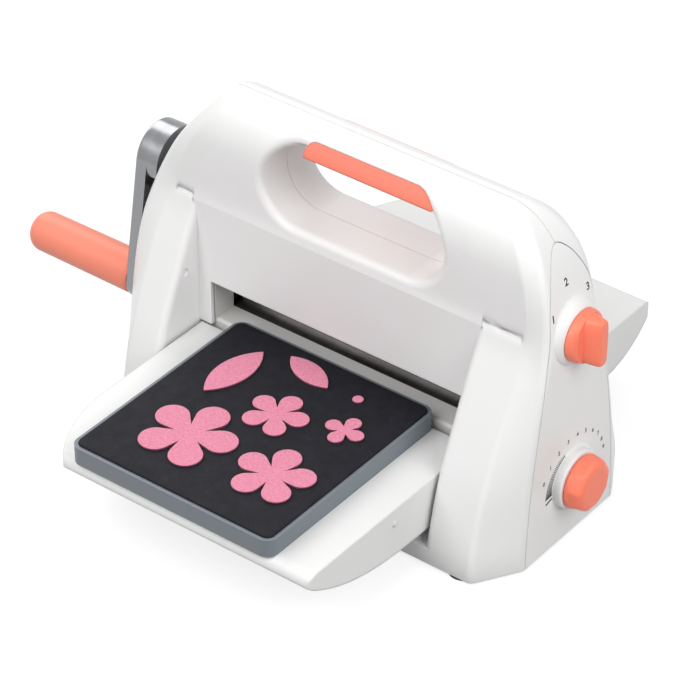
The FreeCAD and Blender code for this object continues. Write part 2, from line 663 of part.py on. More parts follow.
def build_gears():
    """The crank's gear train at the left and the two small trains at the right."""
    coarse = "Dims.coarse_module"
    fine = "Dims.fine_module"
    face = "Dims.gear_face"
    journal = "Dims.journal_radius"
    build_gear("upper_roller_gear", "Dims.upper_axis", "Dims.roller_gear_x", face, coarse,
               "Dims.roller_teeth", journal, "0")
    build_gear("lower_roller_gear", "Dims.lower_axis", "Dims.roller_gear_x", face, coarse,
               "Dims.roller_teeth", journal, "0")
    build_gear("drive_gear", "Dims.upper_axis", "Dims.drive_gear_x", face, coarse,
               "Dims.drive_teeth", journal, "0", 6)
    build_gear("crank_pinion", "Dims.crank_axis", "Dims.drive_gear_x", face, coarse,
               "Dims.pinion_teeth", "Dims.crank_shaft_radius", "180 / Dims.pinion_teeth")
    build_gear("selector_gear", "Dims.selector_axis", "Dims.fine_gear_x", "Dims.fine_face", fine,
               "Dims.selector_teeth", "Dims.dial_spindle_radius", "180 / Dims.selector_teeth")
    build_gear("selector_cam_gear", "Dims.selector_cam_axis", "Dims.fine_gear_x", "Dims.fine_face", fine,
               "Dims.selector_cam_teeth", "Dims.cam_shaft_radius", "0")
    build_gear("pressure_gear", "Dims.dial_axis", "Dims.fine_gear_x", "Dims.fine_face", fine,
               "Dims.dial_teeth", "Dims.dial_spindle_radius", "180 / Dims.dial_teeth")
    build_gear("pressure_cam_gear", "Dims.dial_cam_axis", "Dims.fine_gear_x", "Dims.fine_face", fine,
               "Dims.dial_cam_teeth", "Dims.cam_shaft_radius", "0")


# Adjusting cams: flat followers rest on spirals whose reach falls evenly with the turn

def cam_outline(first, fall, turn):
    """The closed cam curve whose support reach is first at no turn and first - fall after the turn.

    The reach falls in proportion to the angle over the working arc and a cubic closes the curve.
    """
    rate = fall / turn
    spare = math.radians(8)
    span = turn + 2 * spare
    rest = 2 * math.pi - span
    high = first + rate * spare
    low = first - rate * (turn + spare)
    points = []
    count = 24
    for step in range(count):
        angle = -spare + 2 * math.pi * step / count
        along = angle + spare
        if along <= span:
            reach, slope = high - rate * along, -rate
        else:
            part = (along - span) / rest
            rise = high - low
            drift = -rate * rest
            square = 3 * rise - 3 * drift
            cube = 2 * drift - 2 * rise
            reach = low + drift * part + square * part ** 2 + cube * part ** 3
            slope = (drift + 2 * square * part + 3 * cube * part ** 2) / rest
        points.append(Vector(0, reach * math.cos(angle) - slope * math.sin(angle),
                             reach * math.sin(angle) + slope * math.cos(angle)))
    curve = Part.BSplineCurve()
    curve.interpolate(points, PeriodicFlag=True)
    return Part.Face(Part.Wire(curve.toShape()))


def build_cam_shaft(label, height, first, fall, turn, follower_side):
    """A shaft with one cam over each bearing block."""
    right_end = size("fine_gear_x") + size("fine_face")
    shaft = rod(size("cam_shaft_radius"), -size("frame_inner") - 3.6, right_end, 0, 0)
    face = cam_outline(first, fall, turn)
    face.rotate(Vector(0, 0, 0), Vector(1, 0, 0), 90 * follower_side)
    cams = []
    for start in (size("cam_inner"), -size("cam_inner") - size("cam_face")):
        cam = face.copy()
        cam.translate(Vector(start, 0, 0))
        cams.append(cam.extrude(Vector(size("cam_face"), 0, 0)))
    piece = add_shape(label, shaft.fuse(cams))
    piece.Placement = Placement(Vector(0, 0, height), Rotation())


# Knobs, dial ring and their spindles

def build_spindles():
    """The spindle that each knob turns, from its gear out into the knob."""
    for name in ("selector", "pressure"):
        axis = "Dims.selector_axis" if name == "selector" else "Dims.dial_axis"
        face = "Dims.selector_face" if name == "selector" else "Dims.dial_face"
        turned(name + "_spindle", "0", axis, [
            ("Dims.fine_gear_x - 2", "0"), ("Dims.fine_gear_x - 2", "Dims.dial_spindle_radius"),
            (face + " + 6", "Dims.dial_spindle_radius"), (face + " + 6", "0")])


def build_selector_knob():
    """A round knob whose sides are hollowed to leave a grip bar across it."""
    knob = turned("selector_knob", "0", "Dims.selector_axis", [
        ("Dims.selector_face", "Dims.dial_spindle_radius"), ("Dims.selector_face", "Dims.selector_radius"),
        ("Dims.selector_face + 2.2", "Dims.selector_radius"),
        ("Dims.selector_face + Dims.selector_height", "Dims.selector_radius - 1.5"),
        ("Dims.selector_face + Dims.selector_height", "0"), ("Dims.selector_face + 6", "0"),
        ("Dims.selector_face + 6", "Dims.dial_spindle_radius")])
    flanks = add_sketch(knob, "XY_Plane", "selector_flanks")
    for side in ("-1", "1"):
        draw_circle(flanks, "Dims.selector_face + Dims.selector_height + 1.5",
                    side + " * (Dims.bar_half + 12.2)", "12")
    cut = add_pocket(knob, flanks)
    end = size("selector_face") + size("selector_height") - 0.05
    round_edges(knob, cut, 0.9, lambda box: box.XMin > end)


def build_pressure_knob():
    """A nine sided knob with a bevelled end, and the flat ring it turns over."""
    end = "Dims.dial_face + Dims.dial_height"
    dial = turned("pressure_knob", "0", "Dims.dial_axis", [
        ("Dims.dial_face", "Dims.dial_spindle_radius"), ("Dims.dial_face", "Dims.dial_radius - 0.5"),
        ("Dims.dial_face + 2.5", "Dims.dial_radius"), (end + " - 1.8", "Dims.dial_radius - 1.6"),
        (end, "Dims.dial_radius - 4.2"), (end, "0"),
        ("Dims.dial_face + 6", "0"), ("Dims.dial_face + 6", "Dims.dial_spindle_radius")])
    facet = add_sketch(dial, "YZ_Plane", "dial_facet", "Dims.dial_face + 2.5")
    draw_outline(facet, [("-9", "Dims.dial_radius - 1.3"), ("9", "Dims.dial_radius - 1.3"),
                         ("9", "Dims.dial_radius + 2"), ("-9", "Dims.dial_radius + 2")])
    flat = dial.newObject("PartDesign::Pocket", "dial_facet_cut")
    flat.Profile = facet
    flat.Reversed = True
    flat.setExpression("Length", "Dims.dial_height")
    doc.recompute()
    add_polar(dial, flat, facet, "9")
    turned("dial_ring", "0", "Dims.dial_axis", [
        ("Dims.ring_seat", "Dims.dial_spindle_radius + 0.4"), ("Dims.ring_seat", "Dims.dial_ring_radius"),
        ("Dims.ring_face - 0.8", "Dims.dial_ring_radius"), ("Dims.ring_face", "Dims.dial_ring_radius - 1.6"),
        ("Dims.ring_face", "Dims.dial_spindle_radius + 0.4")])


def round_edges(body, base, radius, chosen):
    """The feature's edges rounded where their boxes are chosen."""
    names = ["Edge%d" % index for index, edge in enumerate(base.Shape.Edges, 1) if chosen(edge.BoundBox)]
    rounding = body.newObject("PartDesign::Fillet", body.Label + "_rounding")
    rounding.Base = (base, names)
    rounding.Radius = radius
    doc.recompute()
    return rounding


# Crank: a tapered arm on a thick round hub, with a turning grip

def build_crank_shaft():
    """The shaft with its collar behind the frame plate, and the bolt that holds the arm on it."""
    turned("crank_shaft", "0", "Dims.crank_axis", [
        ("-1 * Dims.frame_inner + 3", "0"), ("-1 * Dims.frame_inner + 3", "Dims.crank_shaft_radius + 2"),
        ("-1 * Dims.frame_inner + 0.3", "Dims.crank_shaft_radius + 2"),
        ("-1 * Dims.frame_inner + 0.3", "Dims.crank_shaft_radius"),
        ("Dims.arm_outer + 4", "Dims.crank_shaft_radius"), ("Dims.arm_outer + 4", "2.5"),
        ("Dims.arm_outer + 12", "2.5"), ("Dims.arm_outer + 12", "0")])
    turned("crank_bolt", "0", "Dims.crank_axis", [
        ("Dims.arm_outer - 2.6", "0"), ("Dims.arm_outer - 2.6", "4.2"), ("Dims.arm_outer - 1.6", "5.5"),
        ("Dims.arm_outer", "5.5"), ("Dims.arm_outer", "2.5"), ("Dims.arm_outer + 12", "2.5"),
        ("Dims.arm_outer + 12", "0")])


def build_crank_arm():
    """The arm with its round end and its hub, cut by a shelf on the inner side."""
    arm = add_body("crank_arm", "0", "Dims.crank_axis")
    arm.Placement = Placement(arm.Placement.Base, Rotation(Vector(1, 0, 0), 10))
    arm.setExpression("Placement.Rotation.Angle", "Dims.crank_lean")
    lean = "((Dims.hub_radius - Dims.arm_end_radius) / Dims.crank_length)"
    along = "sqrt(1 - %s * %s)" % (lean, lean)
    web = add_sketch(arm, "YZ_Plane", "arm_web", "Dims.arm_outer")
    side = [("Dims.hub_radius * " + along, "-1 * Dims.hub_radius * " + lean),
            ("Dims.arm_end_radius * " + along, "-1 * Dims.crank_length - Dims.arm_end_radius * " + lean)]
    draw_outline(web, side + [("-1 * " + across, up) for across, up in reversed(side)])
    add_pad(arm, web, "Dims.arm_inner - Dims.arm_outer")
    end = add_sketch(arm, "YZ_Plane", "arm_end", "Dims.arm_outer")
    draw_circle(end, "0", "-1 * Dims.crank_length", "Dims.arm_end_radius")
    add_pad(arm, end, "Dims.arm_inner - Dims.arm_outer")
    hub = add_sketch(arm, "YZ_Plane", "arm_hub", "Dims.arm_outer")
    draw_circle(hub, "0", "0", "Dims.hub_radius")
    add_pad(arm, hub, "Dims.hub_inner - Dims.arm_outer")
    shelf = add_sketch(arm, "YZ_Plane", "hub_shelf", "Dims.arm_inner")
    draw_outline(shelf, rectangle("25", "-30", "-1 * Dims.hub_flat"))
    cut = arm.newObject("PartDesign::Pocket", "hub_shelf_cut")
    cut.Profile = shelf
    cut.Reversed = True
    cut.setExpression("Length", "Dims.hub_inner - Dims.arm_inner + 1")
    doc.recompute()
    bores = add_sketch(arm, "YZ_Plane", "arm_bores")
    draw_circle(bores, "0", "0", "2.5")
    draw_circle(bores, "0", "-1 * Dims.crank_length", "Dims.spindle_radius")
    add_pocket(arm, bores)
    recess_sketch = add_sketch(arm, "YZ_Plane", "spindle_seat", "Dims.arm_inner")
    draw_circle(recess_sketch, "0", "-1 * Dims.crank_length", "Dims.head_radius")
    head_seat = arm.newObject("PartDesign::Pocket", "spindle_seat_cut")
    head_seat.Profile = recess_sketch
    head_seat.setExpression("Length", "Dims.head_depth")
    doc.recompute()
    seat = add_sketch(arm, "YZ_Plane", "shaft_seat", "Dims.arm_outer + 4")
    draw_circle(seat, "0", "0", "Dims.crank_shaft_radius")
    deep = arm.newObject("PartDesign::Pocket", "shaft_seat_cut")
    deep.Profile = seat
    deep.Reversed = True
    deep.Length = 30
    doc.recompute()

    def on_outer_face(box):
        level = abs(box.XMin - size("arm_outer")) < 0.01 and box.XLength < 0.01
        return level and (box.YLength > 20 or box.ZLength > 20)

    round_edges(arm, deep, 1.8, on_outer_face)


def build_crank_grip():
    """The round grip that turns on a headed spindle at the arm's end."""
    grip_place = ("-1 * Dims.crank_length * sin(-1 * Dims.crank_lean)",
                  "Dims.crank_axis - Dims.crank_length * cos(Dims.crank_lean)")
    grip = turned("crank_grip", grip_place[0], grip_place[1], [
        ("Dims.arm_outer - 0.5", "Dims.spindle_radius + Dims.running_gap"),
        ("Dims.arm_outer - 0.5", "Dims.grip_radius - 0.8"),
        ("Dims.arm_outer - 2.5", "Dims.grip_radius"), ("Dims.grip_end", "Dims.grip_radius - 0.4"),
        ("Dims.grip_end", "0"), ("Dims.grip_end + 9.5", "0"),
        ("Dims.grip_end + 9.5", "Dims.spindle_radius + Dims.running_gap")])
    end = size("grip_end")
    round_edges(grip, grip.Tip, 8.5, lambda box: abs(box.XMin - end) < 0.01 and box.YLength > 20)
    turned("grip_spindle", grip_place[0], grip_place[1], [
        ("Dims.arm_inner - 0.2", "0"), ("Dims.arm_inner - 0.2", "Dims.head_radius"),
        ("Dims.arm_inner - Dims.head_depth", "Dims.head_radius"),
        ("Dims.arm_inner - Dims.head_depth", "Dims.spindle_radius"),
        ("Dims.grip_end + 10", "Dims.spindle_radius"), ("Dims.grip_end + 10", "0")])


# Folding flaps: hollow trays with a curved underside

def flap_profile(reach, belly, inset, roof, closed):
    """The flap's section seen from the side, as a face at x = 0.

    The top ends in a rolled nose and the underside climbs to it as a power of the way from the hinge.
    """
    top = size("flap_top") - roof
    tip = inset - reach
    axis_y = -size("hinge_depth")
    axis_z = size("hinge_height")
    radius = size("hinge_round") - inset
    low = axis_z - radius
    start = -size("belly_start")
    nose = size("flap_nose") - 1.9 * inset
    soft = nose * (1 - math.sqrt(0.5))
    roll = Part.Arc(Vector(0, tip + nose, top), Vector(0, tip + soft, top - soft), Vector(0, tip, top - nose))
    under = []
    for step in range(7):
        share = math.sin(math.pi / 2 * step / 6)
        climb = size("belly_rise") * share ** belly
        under.append(Vector(0, start + share * (tip + 0.4 - start), low + climb))
    curve = Part.BSplineCurve()
    curve.interpolate(under)
    quarter = radius * math.sqrt(0.5)
    heel = Part.Arc(Vector(0, axis_y, low), Vector(0, axis_y + quarter, axis_z - quarter),
                    Vector(0, axis_y + radius, axis_z))
    points = [Vector(0, axis_y + radius, axis_z)]
    if closed:
        points += [Vector(0, axis_y + radius, top - 3.4), Vector(0, -size("flap_rear"), top)]
    else:
        points += [Vector(0, -10, axis_z), Vector(0, -10, top)]
    points.append(Vector(0, tip + nose, top))
    edges = [Part.makeLine(points[index], points[index + 1]) for index in range(len(points) - 1)]
    edges += [roll.toShape(),
              Part.makeLine(Vector(0, tip, top - nose), under[-1]),
              curve.toShape(),
              Part.makeLine(under[0], Vector(0, axis_y, low)),
              heel.toShape()]
    return Part.Face(Part.Wire(Part.__sortEdges__(edges)))


def flap_plan(reach, inset):
    """The flap's outline from above, as a prism.

    It is straight at the right and sweeps in towards the tip at the left.
    """
    half = size("flap_half") - inset
    tip = inset - reach
    sweep = size("flap_sweep") - inset
    start = size("sweep_length") - reach

    def on_sweep(drop):
        return Vector(sweep - half - math.sqrt(sweep ** 2 - drop ** 2), start - drop, 0)

    end = on_sweep(start - tip)
    points = [Vector(-half, start, 0), Vector(-half, 0, 0), Vector(half, 0, 0), Vector(half, tip, 0), end]
    edges = [Part.makeLine(points[index], points[index + 1]) for index in range(len(points) - 1)]
    edges.append(Part.Arc(end, on_sweep((start - tip) / 2), points[0]).toShape())
    plan = Part.Face(Part.Wire(edges)).extrude(Vector(0, 0, 80))
    for corner, sign in (("right_corner", 1), ("left_corner", -1)):
        edge = [item for item in plan.Edges if item.BoundBox.ZLength > 70
                and item.BoundBox.YMax < tip + 0.01 and sign * item.BoundBox.Center.x > 0]
        edge.sort(key=lambda item: sign * item.BoundBox.Center.x)
        plan = plan.makeFillet(size(corner) - 0.8 * inset, edge[-1:])
    return plan


def flap_solid(reach, belly, inset, roof, closed):
    """The section swept across the machine and trimmed to the outline."""
    profile = flap_profile(reach, belly, inset, roof, closed)
    profile.translate(Vector(-120, 0, 0))
    return profile.extrude(Vector(240, 0, 0)).common(flap_plan(reach, inset))


def build_flap(reach, belly):
    """A tray with hinge bosses, two ribs, and a detent bump at each side."""
    shell = flap_solid(reach, belly, 0, 0, True)
    hollow = flap_solid(reach, belly, size("wall"), size("flap_plate"), False)
    half = size("flap_half")
    axis = (-size("hinge_depth"), size("hinge_height"))
    boss = size("hinge_boss_inner")
    bore = size("hinge_pin_radius") + size("running_gap")
    for across in (-32, 32):
        hollow = hollow.cut(block((across - 1, across + 1), (-200, -26), (0, 80)))
    for side in (-1, 1):
        ends = sorted((side * boss, side * (half - 1)))
        hollow = hollow.cut(rod(size("hinge_boss_radius"), ends[0], ends[1], *axis))
    flap = shell.cut(hollow)
    for side in (-1, 1):
        ends = sorted((side * (boss - 0.5), side * (half + 3)))
        flap = flap.cut(rod(bore, ends[0], ends[1], *axis))
        place = Vector(side * (half - 1.5), -size("detent_depth"), size("detent_height"))
        flap = flap.fuse(Part.makeCone(2.6, 1.4, 2.4, place, Vector(side, 0, 0)))
    return flap


def build_flaps():
    """The long front flap and the shorter rear one."""
    add_shape("front_flap", build_flap(size("front_reach"), size("front_belly")))
    add_shape("rear_flap", mirrored_y(build_flap(size("rear_reach"), size("rear_belly"))))


# Cutting die: a shallow tray, its foam, and the felt shapes lying on the foam

def build_die():
    """The open tray and the foam slab that fills it."""
    tray = add_body("die_tray", "0", "Dims.flap_top")
    outline = add_sketch(tray, "XY_Plane", "tray_outline")
    draw_outline(outline, rectangle("Dims.die_half", "-1 * Dims.die_near", "-1 * Dims.die_far"))
    block_pad = add_pad(tray, outline, "Dims.tray_height")
    corners = round_edges(tray, block_pad, size("die_corner"), lambda box: box.ZLength > 5)
    corners.setExpression("Radius", "Dims.die_corner")
    doc.recompute()
    top = ["Face%d" % index for index, face in enumerate(corners.Shape.Faces, 1)
           if face.BoundBox.ZMin > size("tray_height") - 0.01]
    hollow = tray.newObject("PartDesign::Thickness", "tray_hollow")
    hollow.Base = (corners, top)
    hollow.setExpression("Value", "Dims.rim")
    hollow.Reversed = True
    doc.recompute()
    foam = add_body("die_foam", "0", "Dims.flap_top + Dims.rim")
    slab = add_sketch(foam, "XY_Plane", "foam_outline")
    inset = "(Dims.rim + 0.1)"
    draw_outline(slab, rectangle("Dims.die_half - " + inset, "-1 * Dims.die_near + " + inset,
                                 "-1 * Dims.die_far - " + inset))
    slab_pad = add_pad(foam, slab, "Dims.tray_height - Dims.rim + Dims.foam_proud")
    round_edges(foam, slab_pad, size("die_corner") - size("rim") - 0.1, lambda box: box.ZLength > 5)
    build_felt()


def petal_flower(centre, radius, petals, turn):
    """A flower of round ended petals that narrow towards its heart."""
    thickness = size("felt_thickness")
    across = 0.31 * radius if petals == 5 else 0.34 * radius
    parts = [Part.makeCylinder(0.3 * radius, thickness)]
    for index in range(petals):
        round_end = Part.makeCylinder(across, thickness, Vector(radius - across, 0, 0))
        neck = [Vector(0, -0.12 * radius, 0), Vector(radius - 1.25 * across, -0.97 * across, 0),
                Vector(radius - 1.25 * across, 0.97 * across, 0), Vector(0, 0.12 * radius, 0)]
        taper = Part.Face(Part.makePolygon(neck + neck[:1])).extrude(Vector(0, 0, thickness))
        petal = round_end.fuse(taper)
        petal.rotate(Vector(0, 0, 0), Vector(0, 0, 1), turn + 360.0 * index / petals)
        parts.append(petal)
    flower = parts[0].fuse(parts[1:]).removeSplitter()
    flower.translate(Vector(centre[0], centre[1], 0))
    return flower


def leaf(start, end, half_width):
    """A leaf between two points, bounded by two arcs."""
    first = Vector(start[0], start[1], 0)
    last = Vector(end[0], end[1], 0)
    middle = (first + last) * 0.5
    across = (last - first).cross(Vector(0, 0, 1)).normalize() * half_width
    there = Part.Arc(first, middle + across, last).toShape()
    back = Part.Arc(last, middle - across, first).toShape()
    return Part.Face(Part.Wire([there, back])).extrude(Vector(0, 0, size("felt_thickness")))


def build_felt():
    """Four flowers, two leaves and a dot, cut from felt and laid on the foam."""
    shapes = [petal_flower((-22.0, -124.5), 27.0, 5, 15), petal_flower((4.5, -82.0), 18.5, 5, 16),
              petal_flower((36.5, -125.0), 22.0, 5, 27), petal_flower((43.0, -70.5), 11.5, 4, -1),
              leaf((-41.5, -90.5), (-36.5, -39.5), 9.6), leaf((-22.5, -35.0), (12.0, -46.0), 7.6),
              Part.makeCylinder(3.0, size("felt_thickness"), Vector(31.6, -43.7, 0))]
    felt = add_shape("die_felt_shapes", Part.makeCompound(shapes))
    height = size("flap_top") + size("tray_height") + size("foam_proud")
    felt.Placement = Placement(Vector(0, 0, height), Rotation())


def frame_shift():
    """The move that brings the middle of the whole machine's box over the origin."""
    left = size("grip_end")
    right = size("selector_face") + size("selector_height")
    return Vector(-(left + right) / 2, (size("die_near") - size("rear_reach")) / 2, 0)


def check_and_export():
    """Stops at a feature that failed, then writes each piece in the final frame."""
    os.makedirs("parts", exist_ok=True)
    doc.recompute()
    for item in doc.Objects:
        if "Invalid" in item.State or "Error" in item.State:
            raise RuntimeError("%s is not up to date: %s" % (item.Label, item.State))
    pieces = [item for item in doc.Objects if item.TypeId in ("PartDesign::Body", "Part::Feature")]
    shift = frame_shift()
    print("frame shift %.3f %.3f" % (shift.x, shift.y))
    for piece in pieces:
        if piece.Shape.isNull() or not piece.Shape.isValid():
            raise RuntimeError(piece.Label + " has no valid shape")
        shape = piece.Shape.copy()
        shape.translate(shift)
        shape.exportStep("parts/%s.step" % piece.Label)
        box = shape.BoundBox
        print("%-24s solids %d volume %.0f box %.1f %.1f %.1f to %.1f %.1f %.1f" % (
            piece.Label, len(piece.Shape.Solids), piece.Shape.Volume,
            box.XMin, box.YMin, box.ZMin, box.XMax, box.YMax, box.ZMax))


def recess_details():
    """Cutters for the hinge pins and the dimples that hold a flap when it is folded."""
    pin = rod(size("hinge_pin_radius") + 0.1, -size("frame_inner"), size("frame_inner"),
              -size("hinge_depth"), size("hinge_height"))
    cutters = [both_ends(pin)]
    height = size("hinge_height") + size("detent_depth") - size("hinge_depth")
    for side in (-1, 1):
        place = Vector(side * (size("recess_half") - 1.2), -36, height)
        cutters.append(both_ends(Part.makeCone(3.2, 1.6, 2.4, place, Vector(side, 0, 0))))
    return cutters


def gear_room():
    """A round space in the left wall for the drive gear, which rises with its roller."""
    radius = size("coarse_module") * (size("drive_teeth") / 2 + 1) + 1.0
    start = size("drive_gear_x")
    return x_disc(radius, start - 4, start + size("gear_face") + 5, size("upper_axis") + size("upper_rise") / 2)


def screw_holes():
    """Pilot holes and head recesses for the screws that join the shells and hold the base."""
    cutters = []
    for place in BOSSES:
        cutters.append(screw_boss(1.5, -12, 60, place))
        cutters.append(screw_boss(3.2, front_depth(place[1]) - 5, 60, place))
    for across, depth in POSTS:
        cutters.append(both_ends(Part.makeCylinder(1.5, 8, Vector(across, -depth, 0))))
    return cutters


def build_housing():
    """Both shells: one lofted body with its recesses, slot and hand hole, hollowed and split at mid depth."""
    bottom = size("foot_gap")
    wall = size("wall")
    outer = housing_form(0, level_heights(bottom, TOP - 0.4, int(size("levels"))))
    rising = level_heights(bottom, TOP - wall - 0.6, int(size("cavity_levels")))
    inner = housing_form(wall, [bottom - 3, bottom + 6] + rising[1:], True)
    hollow_hole = hand_hole(wall)

    body = outer.cut(both_ends(recess(0)))
    body = body.makeFillet(size("pillar_round"), pillar_edges(body))
    body = body.cut(hand_hole(0))
    body = body.makeFillet(size("rim_round"), rim_edges(body))

    cavity = inner.cut([both_ends(recess(wall)), hollow_hole])
    for place in BOSSES:
        cavity = cavity.cut(screw_boss(4.0, -40, 40, place))
    for across, depth in POSTS:
        post = Part.makeCylinder(4.0, 8, Vector(across, -depth, bottom + size("base_skin") + 0.2))
        cavity = cavity.cut(both_ends(post))
    shell = body.cut(cavity)

    slot = size("slot_half")
    cheek = size("bed_half") + size("cheek_skin") + 0.3
    cheek_depth = size("bed_front") + 0.3
    slot_height = (size("slot_floor"), size("slot_top"))
    cutters = [block((-slot, slot), (-34, 34), slot_height)]
    cutters.append(block((-cheek, cheek), (-cheek_depth, cheek_depth), slot_height))
    cutters.append(gear_room())
    cutters += recess_details() + screw_holes()
    gap = size("cover_gap")
    cutters.append(cover_prism("right", size("cover_inset") - gap, 108, 170))
    cutters.append(cover_prism("left", size("cover_inset") - gap, -170, -106))
    cutters.append(insert_form(0.1))
    shell = shell.cut(cutters)
    stops = []
    for side in (-1, 1):
        middle = side * 86
        stops.append(block((middle - 4, middle + 4), (-64, -56), (size("sill_top") - 0.5, 21.3)))
    shell = shell.fuse([both_ends(stop) for stop in stops])

    half = block((-200, 200), (-120, -size("seam")), (-10, 260))
    add_shape("front_shell", shell.common(half))
    add_shape("rear_shell", shell.common(mirrored_y(half)))
    add_shape("handle_grip_insert", insert_form(0))
    return outer


def insert_form(margin):
    """The soft lining of the carrying bar: a trough round the bar's underside.

    Its face on the housing has a rounded corner at the left and runs out to a point at the right.
    """
    hole_top = size("hole_height") + size("hole_radius")
    left = size("insert_left") - margin
    right = size("insert_right") + margin
    upper = size("insert_top") + margin
    low = hole_top - 1 - margin
    bend = 5.5
    corner = Part.Arc(Vector(left, -40, upper - bend), Vector(left + 0.3 * bend, -40, upper - 0.3 * bend),
                      Vector(left + bend, -40, upper))
    point = Part.Arc(Vector(right - 15, -40, upper), Vector(right - 4.5, -40, upper - 3.2),
                     Vector(right, -40, low))
    edges = [Part.makeLine(Vector(left, -40, low), Vector(left, -40, upper - bend)),
             corner.toShape(),
             Part.makeLine(Vector(left + bend, -40, upper), Vector(right - 15, -40, upper)),
             point.toShape(),
             Part.makeLine(Vector(right, -40, low), Vector(left, -40, low))]
    window = Part.Face(Part.Wire(edges)).extrude(Vector(0, 80, 0))
    proud = housing_form(-0.4 - margin, level_heights(150, TOP, 8))
    core = housing_form(size("insert_wall") + margin, level_heights(150, TOP - 2, 8))
    band = proud.cut(core).common(window)
    depth = front_depth(hole_top) - 2.0
    roof = hole_top + size("insert_wall") + margin
    sag = Part.Arc(Vector(left, -depth, hole_top), Vector(left, 0, hole_top - size("insert_sag")),
                   Vector(left, depth, hole_top))
    belly_edges = [sag.toShape(),
                   Part.makeLine(Vector(left, depth, hole_top), Vector(left, depth, roof)),
                   Part.makeLine(Vector(left, depth, roof), Vector(left, -depth, roof)),
                   Part.makeLine(Vector(left, -depth, roof), Vector(left, -depth, hole_top))]
    belly = Part.Face(Part.Wire(belly_edges)).extrude(Vector(right - 7 - left, 0, 0))
    return band.fuse(belly).removeSplitter()


def build_cam_shafts():
    """Both cam shafts, whose cams let the blocks travel in step with the knobs."""
    selector_ratio = size("selector_teeth") / size("selector_cam_teeth")
    dial_ratio = size("dial_teeth") / size("dial_cam_teeth")
    selector_cam_turn = math.radians(size("selector_turn") * selector_ratio)
    dial_cam_turn = math.radians(size("dial_turn") * dial_ratio)
    upper = size("selector_cam_axis")
    lower = size("dial_cam_axis")
    clear = size("block_reach") + size("cam_gap")
    upper_reach = upper - size("upper_axis") - clear
    lower_reach = size("lower_axis") - lower - clear
    build_cam_shaft("selector_cam_shaft", upper, upper_reach, size("upper_rise"), selector_cam_turn, -1)
    build_cam_shaft("pressure_cam_shaft", lower, lower_reach, size("lower_drop"), dial_cam_turn, 1)


outer_form = build_housing()
build_right_panel(outer_form)
build_left_cover(outer_form)
build_base()
build_frame()
build_bed("front_bed", 0)
build_bed("rear_bed", 180)
build_rollers()
build_gears()
build_cam_shafts()
build_spindles()
build_selector_knob()
build_pressure_knob()
build_crank_shaft()
build_crank_arm()
build_crank_grip()
build_flaps()
build_die()
check_and_export()
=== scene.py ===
"""Looks of a hand cranked die cutting and embossing machine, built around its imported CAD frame."""

import json
import logging
import math
from abc import ABC, abstractmethod
from dataclasses import dataclass, replace
from enum import Enum
from typing import Any, Sequence

import bmesh
import bpy
import numpy as np
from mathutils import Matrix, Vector
from mathutils.bvhtree import BVHTree


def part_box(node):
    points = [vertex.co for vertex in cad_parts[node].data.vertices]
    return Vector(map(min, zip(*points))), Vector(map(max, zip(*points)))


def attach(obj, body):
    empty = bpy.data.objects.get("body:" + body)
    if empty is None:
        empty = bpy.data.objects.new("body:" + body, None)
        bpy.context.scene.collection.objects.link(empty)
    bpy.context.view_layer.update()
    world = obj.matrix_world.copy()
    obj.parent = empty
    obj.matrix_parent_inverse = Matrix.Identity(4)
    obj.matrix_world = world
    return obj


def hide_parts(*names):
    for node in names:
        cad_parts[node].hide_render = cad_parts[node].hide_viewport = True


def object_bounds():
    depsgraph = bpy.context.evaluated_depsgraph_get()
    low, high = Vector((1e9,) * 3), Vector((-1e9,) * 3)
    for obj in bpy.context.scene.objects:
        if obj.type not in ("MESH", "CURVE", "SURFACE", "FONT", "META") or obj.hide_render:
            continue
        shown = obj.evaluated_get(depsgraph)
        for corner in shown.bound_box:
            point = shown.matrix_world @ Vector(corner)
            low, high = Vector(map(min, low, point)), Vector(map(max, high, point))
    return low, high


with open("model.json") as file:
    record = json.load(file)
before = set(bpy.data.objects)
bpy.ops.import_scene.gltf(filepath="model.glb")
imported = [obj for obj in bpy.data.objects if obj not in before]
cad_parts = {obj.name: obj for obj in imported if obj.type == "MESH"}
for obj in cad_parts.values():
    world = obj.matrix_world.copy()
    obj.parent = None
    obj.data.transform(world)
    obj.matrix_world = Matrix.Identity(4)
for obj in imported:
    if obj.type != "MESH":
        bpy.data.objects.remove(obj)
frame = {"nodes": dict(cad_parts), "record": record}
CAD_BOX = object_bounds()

Array = np.ndarray
# two measures that go together, such as a point on a plane or the ends of a ramp
Place = tuple[float, float]
# red, green and blue as the shaders take them
Colour = tuple[float, float, float]
# a table of measures, one row to a ring or a mark
Rows = tuple[tuple[float, ...], ...]

MM = 0.001
LOG = logging.getLogger("die_cutting_machine")


def middle(node: str) -> Array:
    """The middle of a CAD node's box, in metres."""
    low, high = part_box(node)
    return (np.array(low) + np.array(high)) / 2


def heading(degrees: float) -> Array:
    """Unit vector at an angle, anticlockwise from the first axis."""
    return np.array([math.cos(math.radians(degrees)), math.sin(math.radians(degrees))])


# Shader building


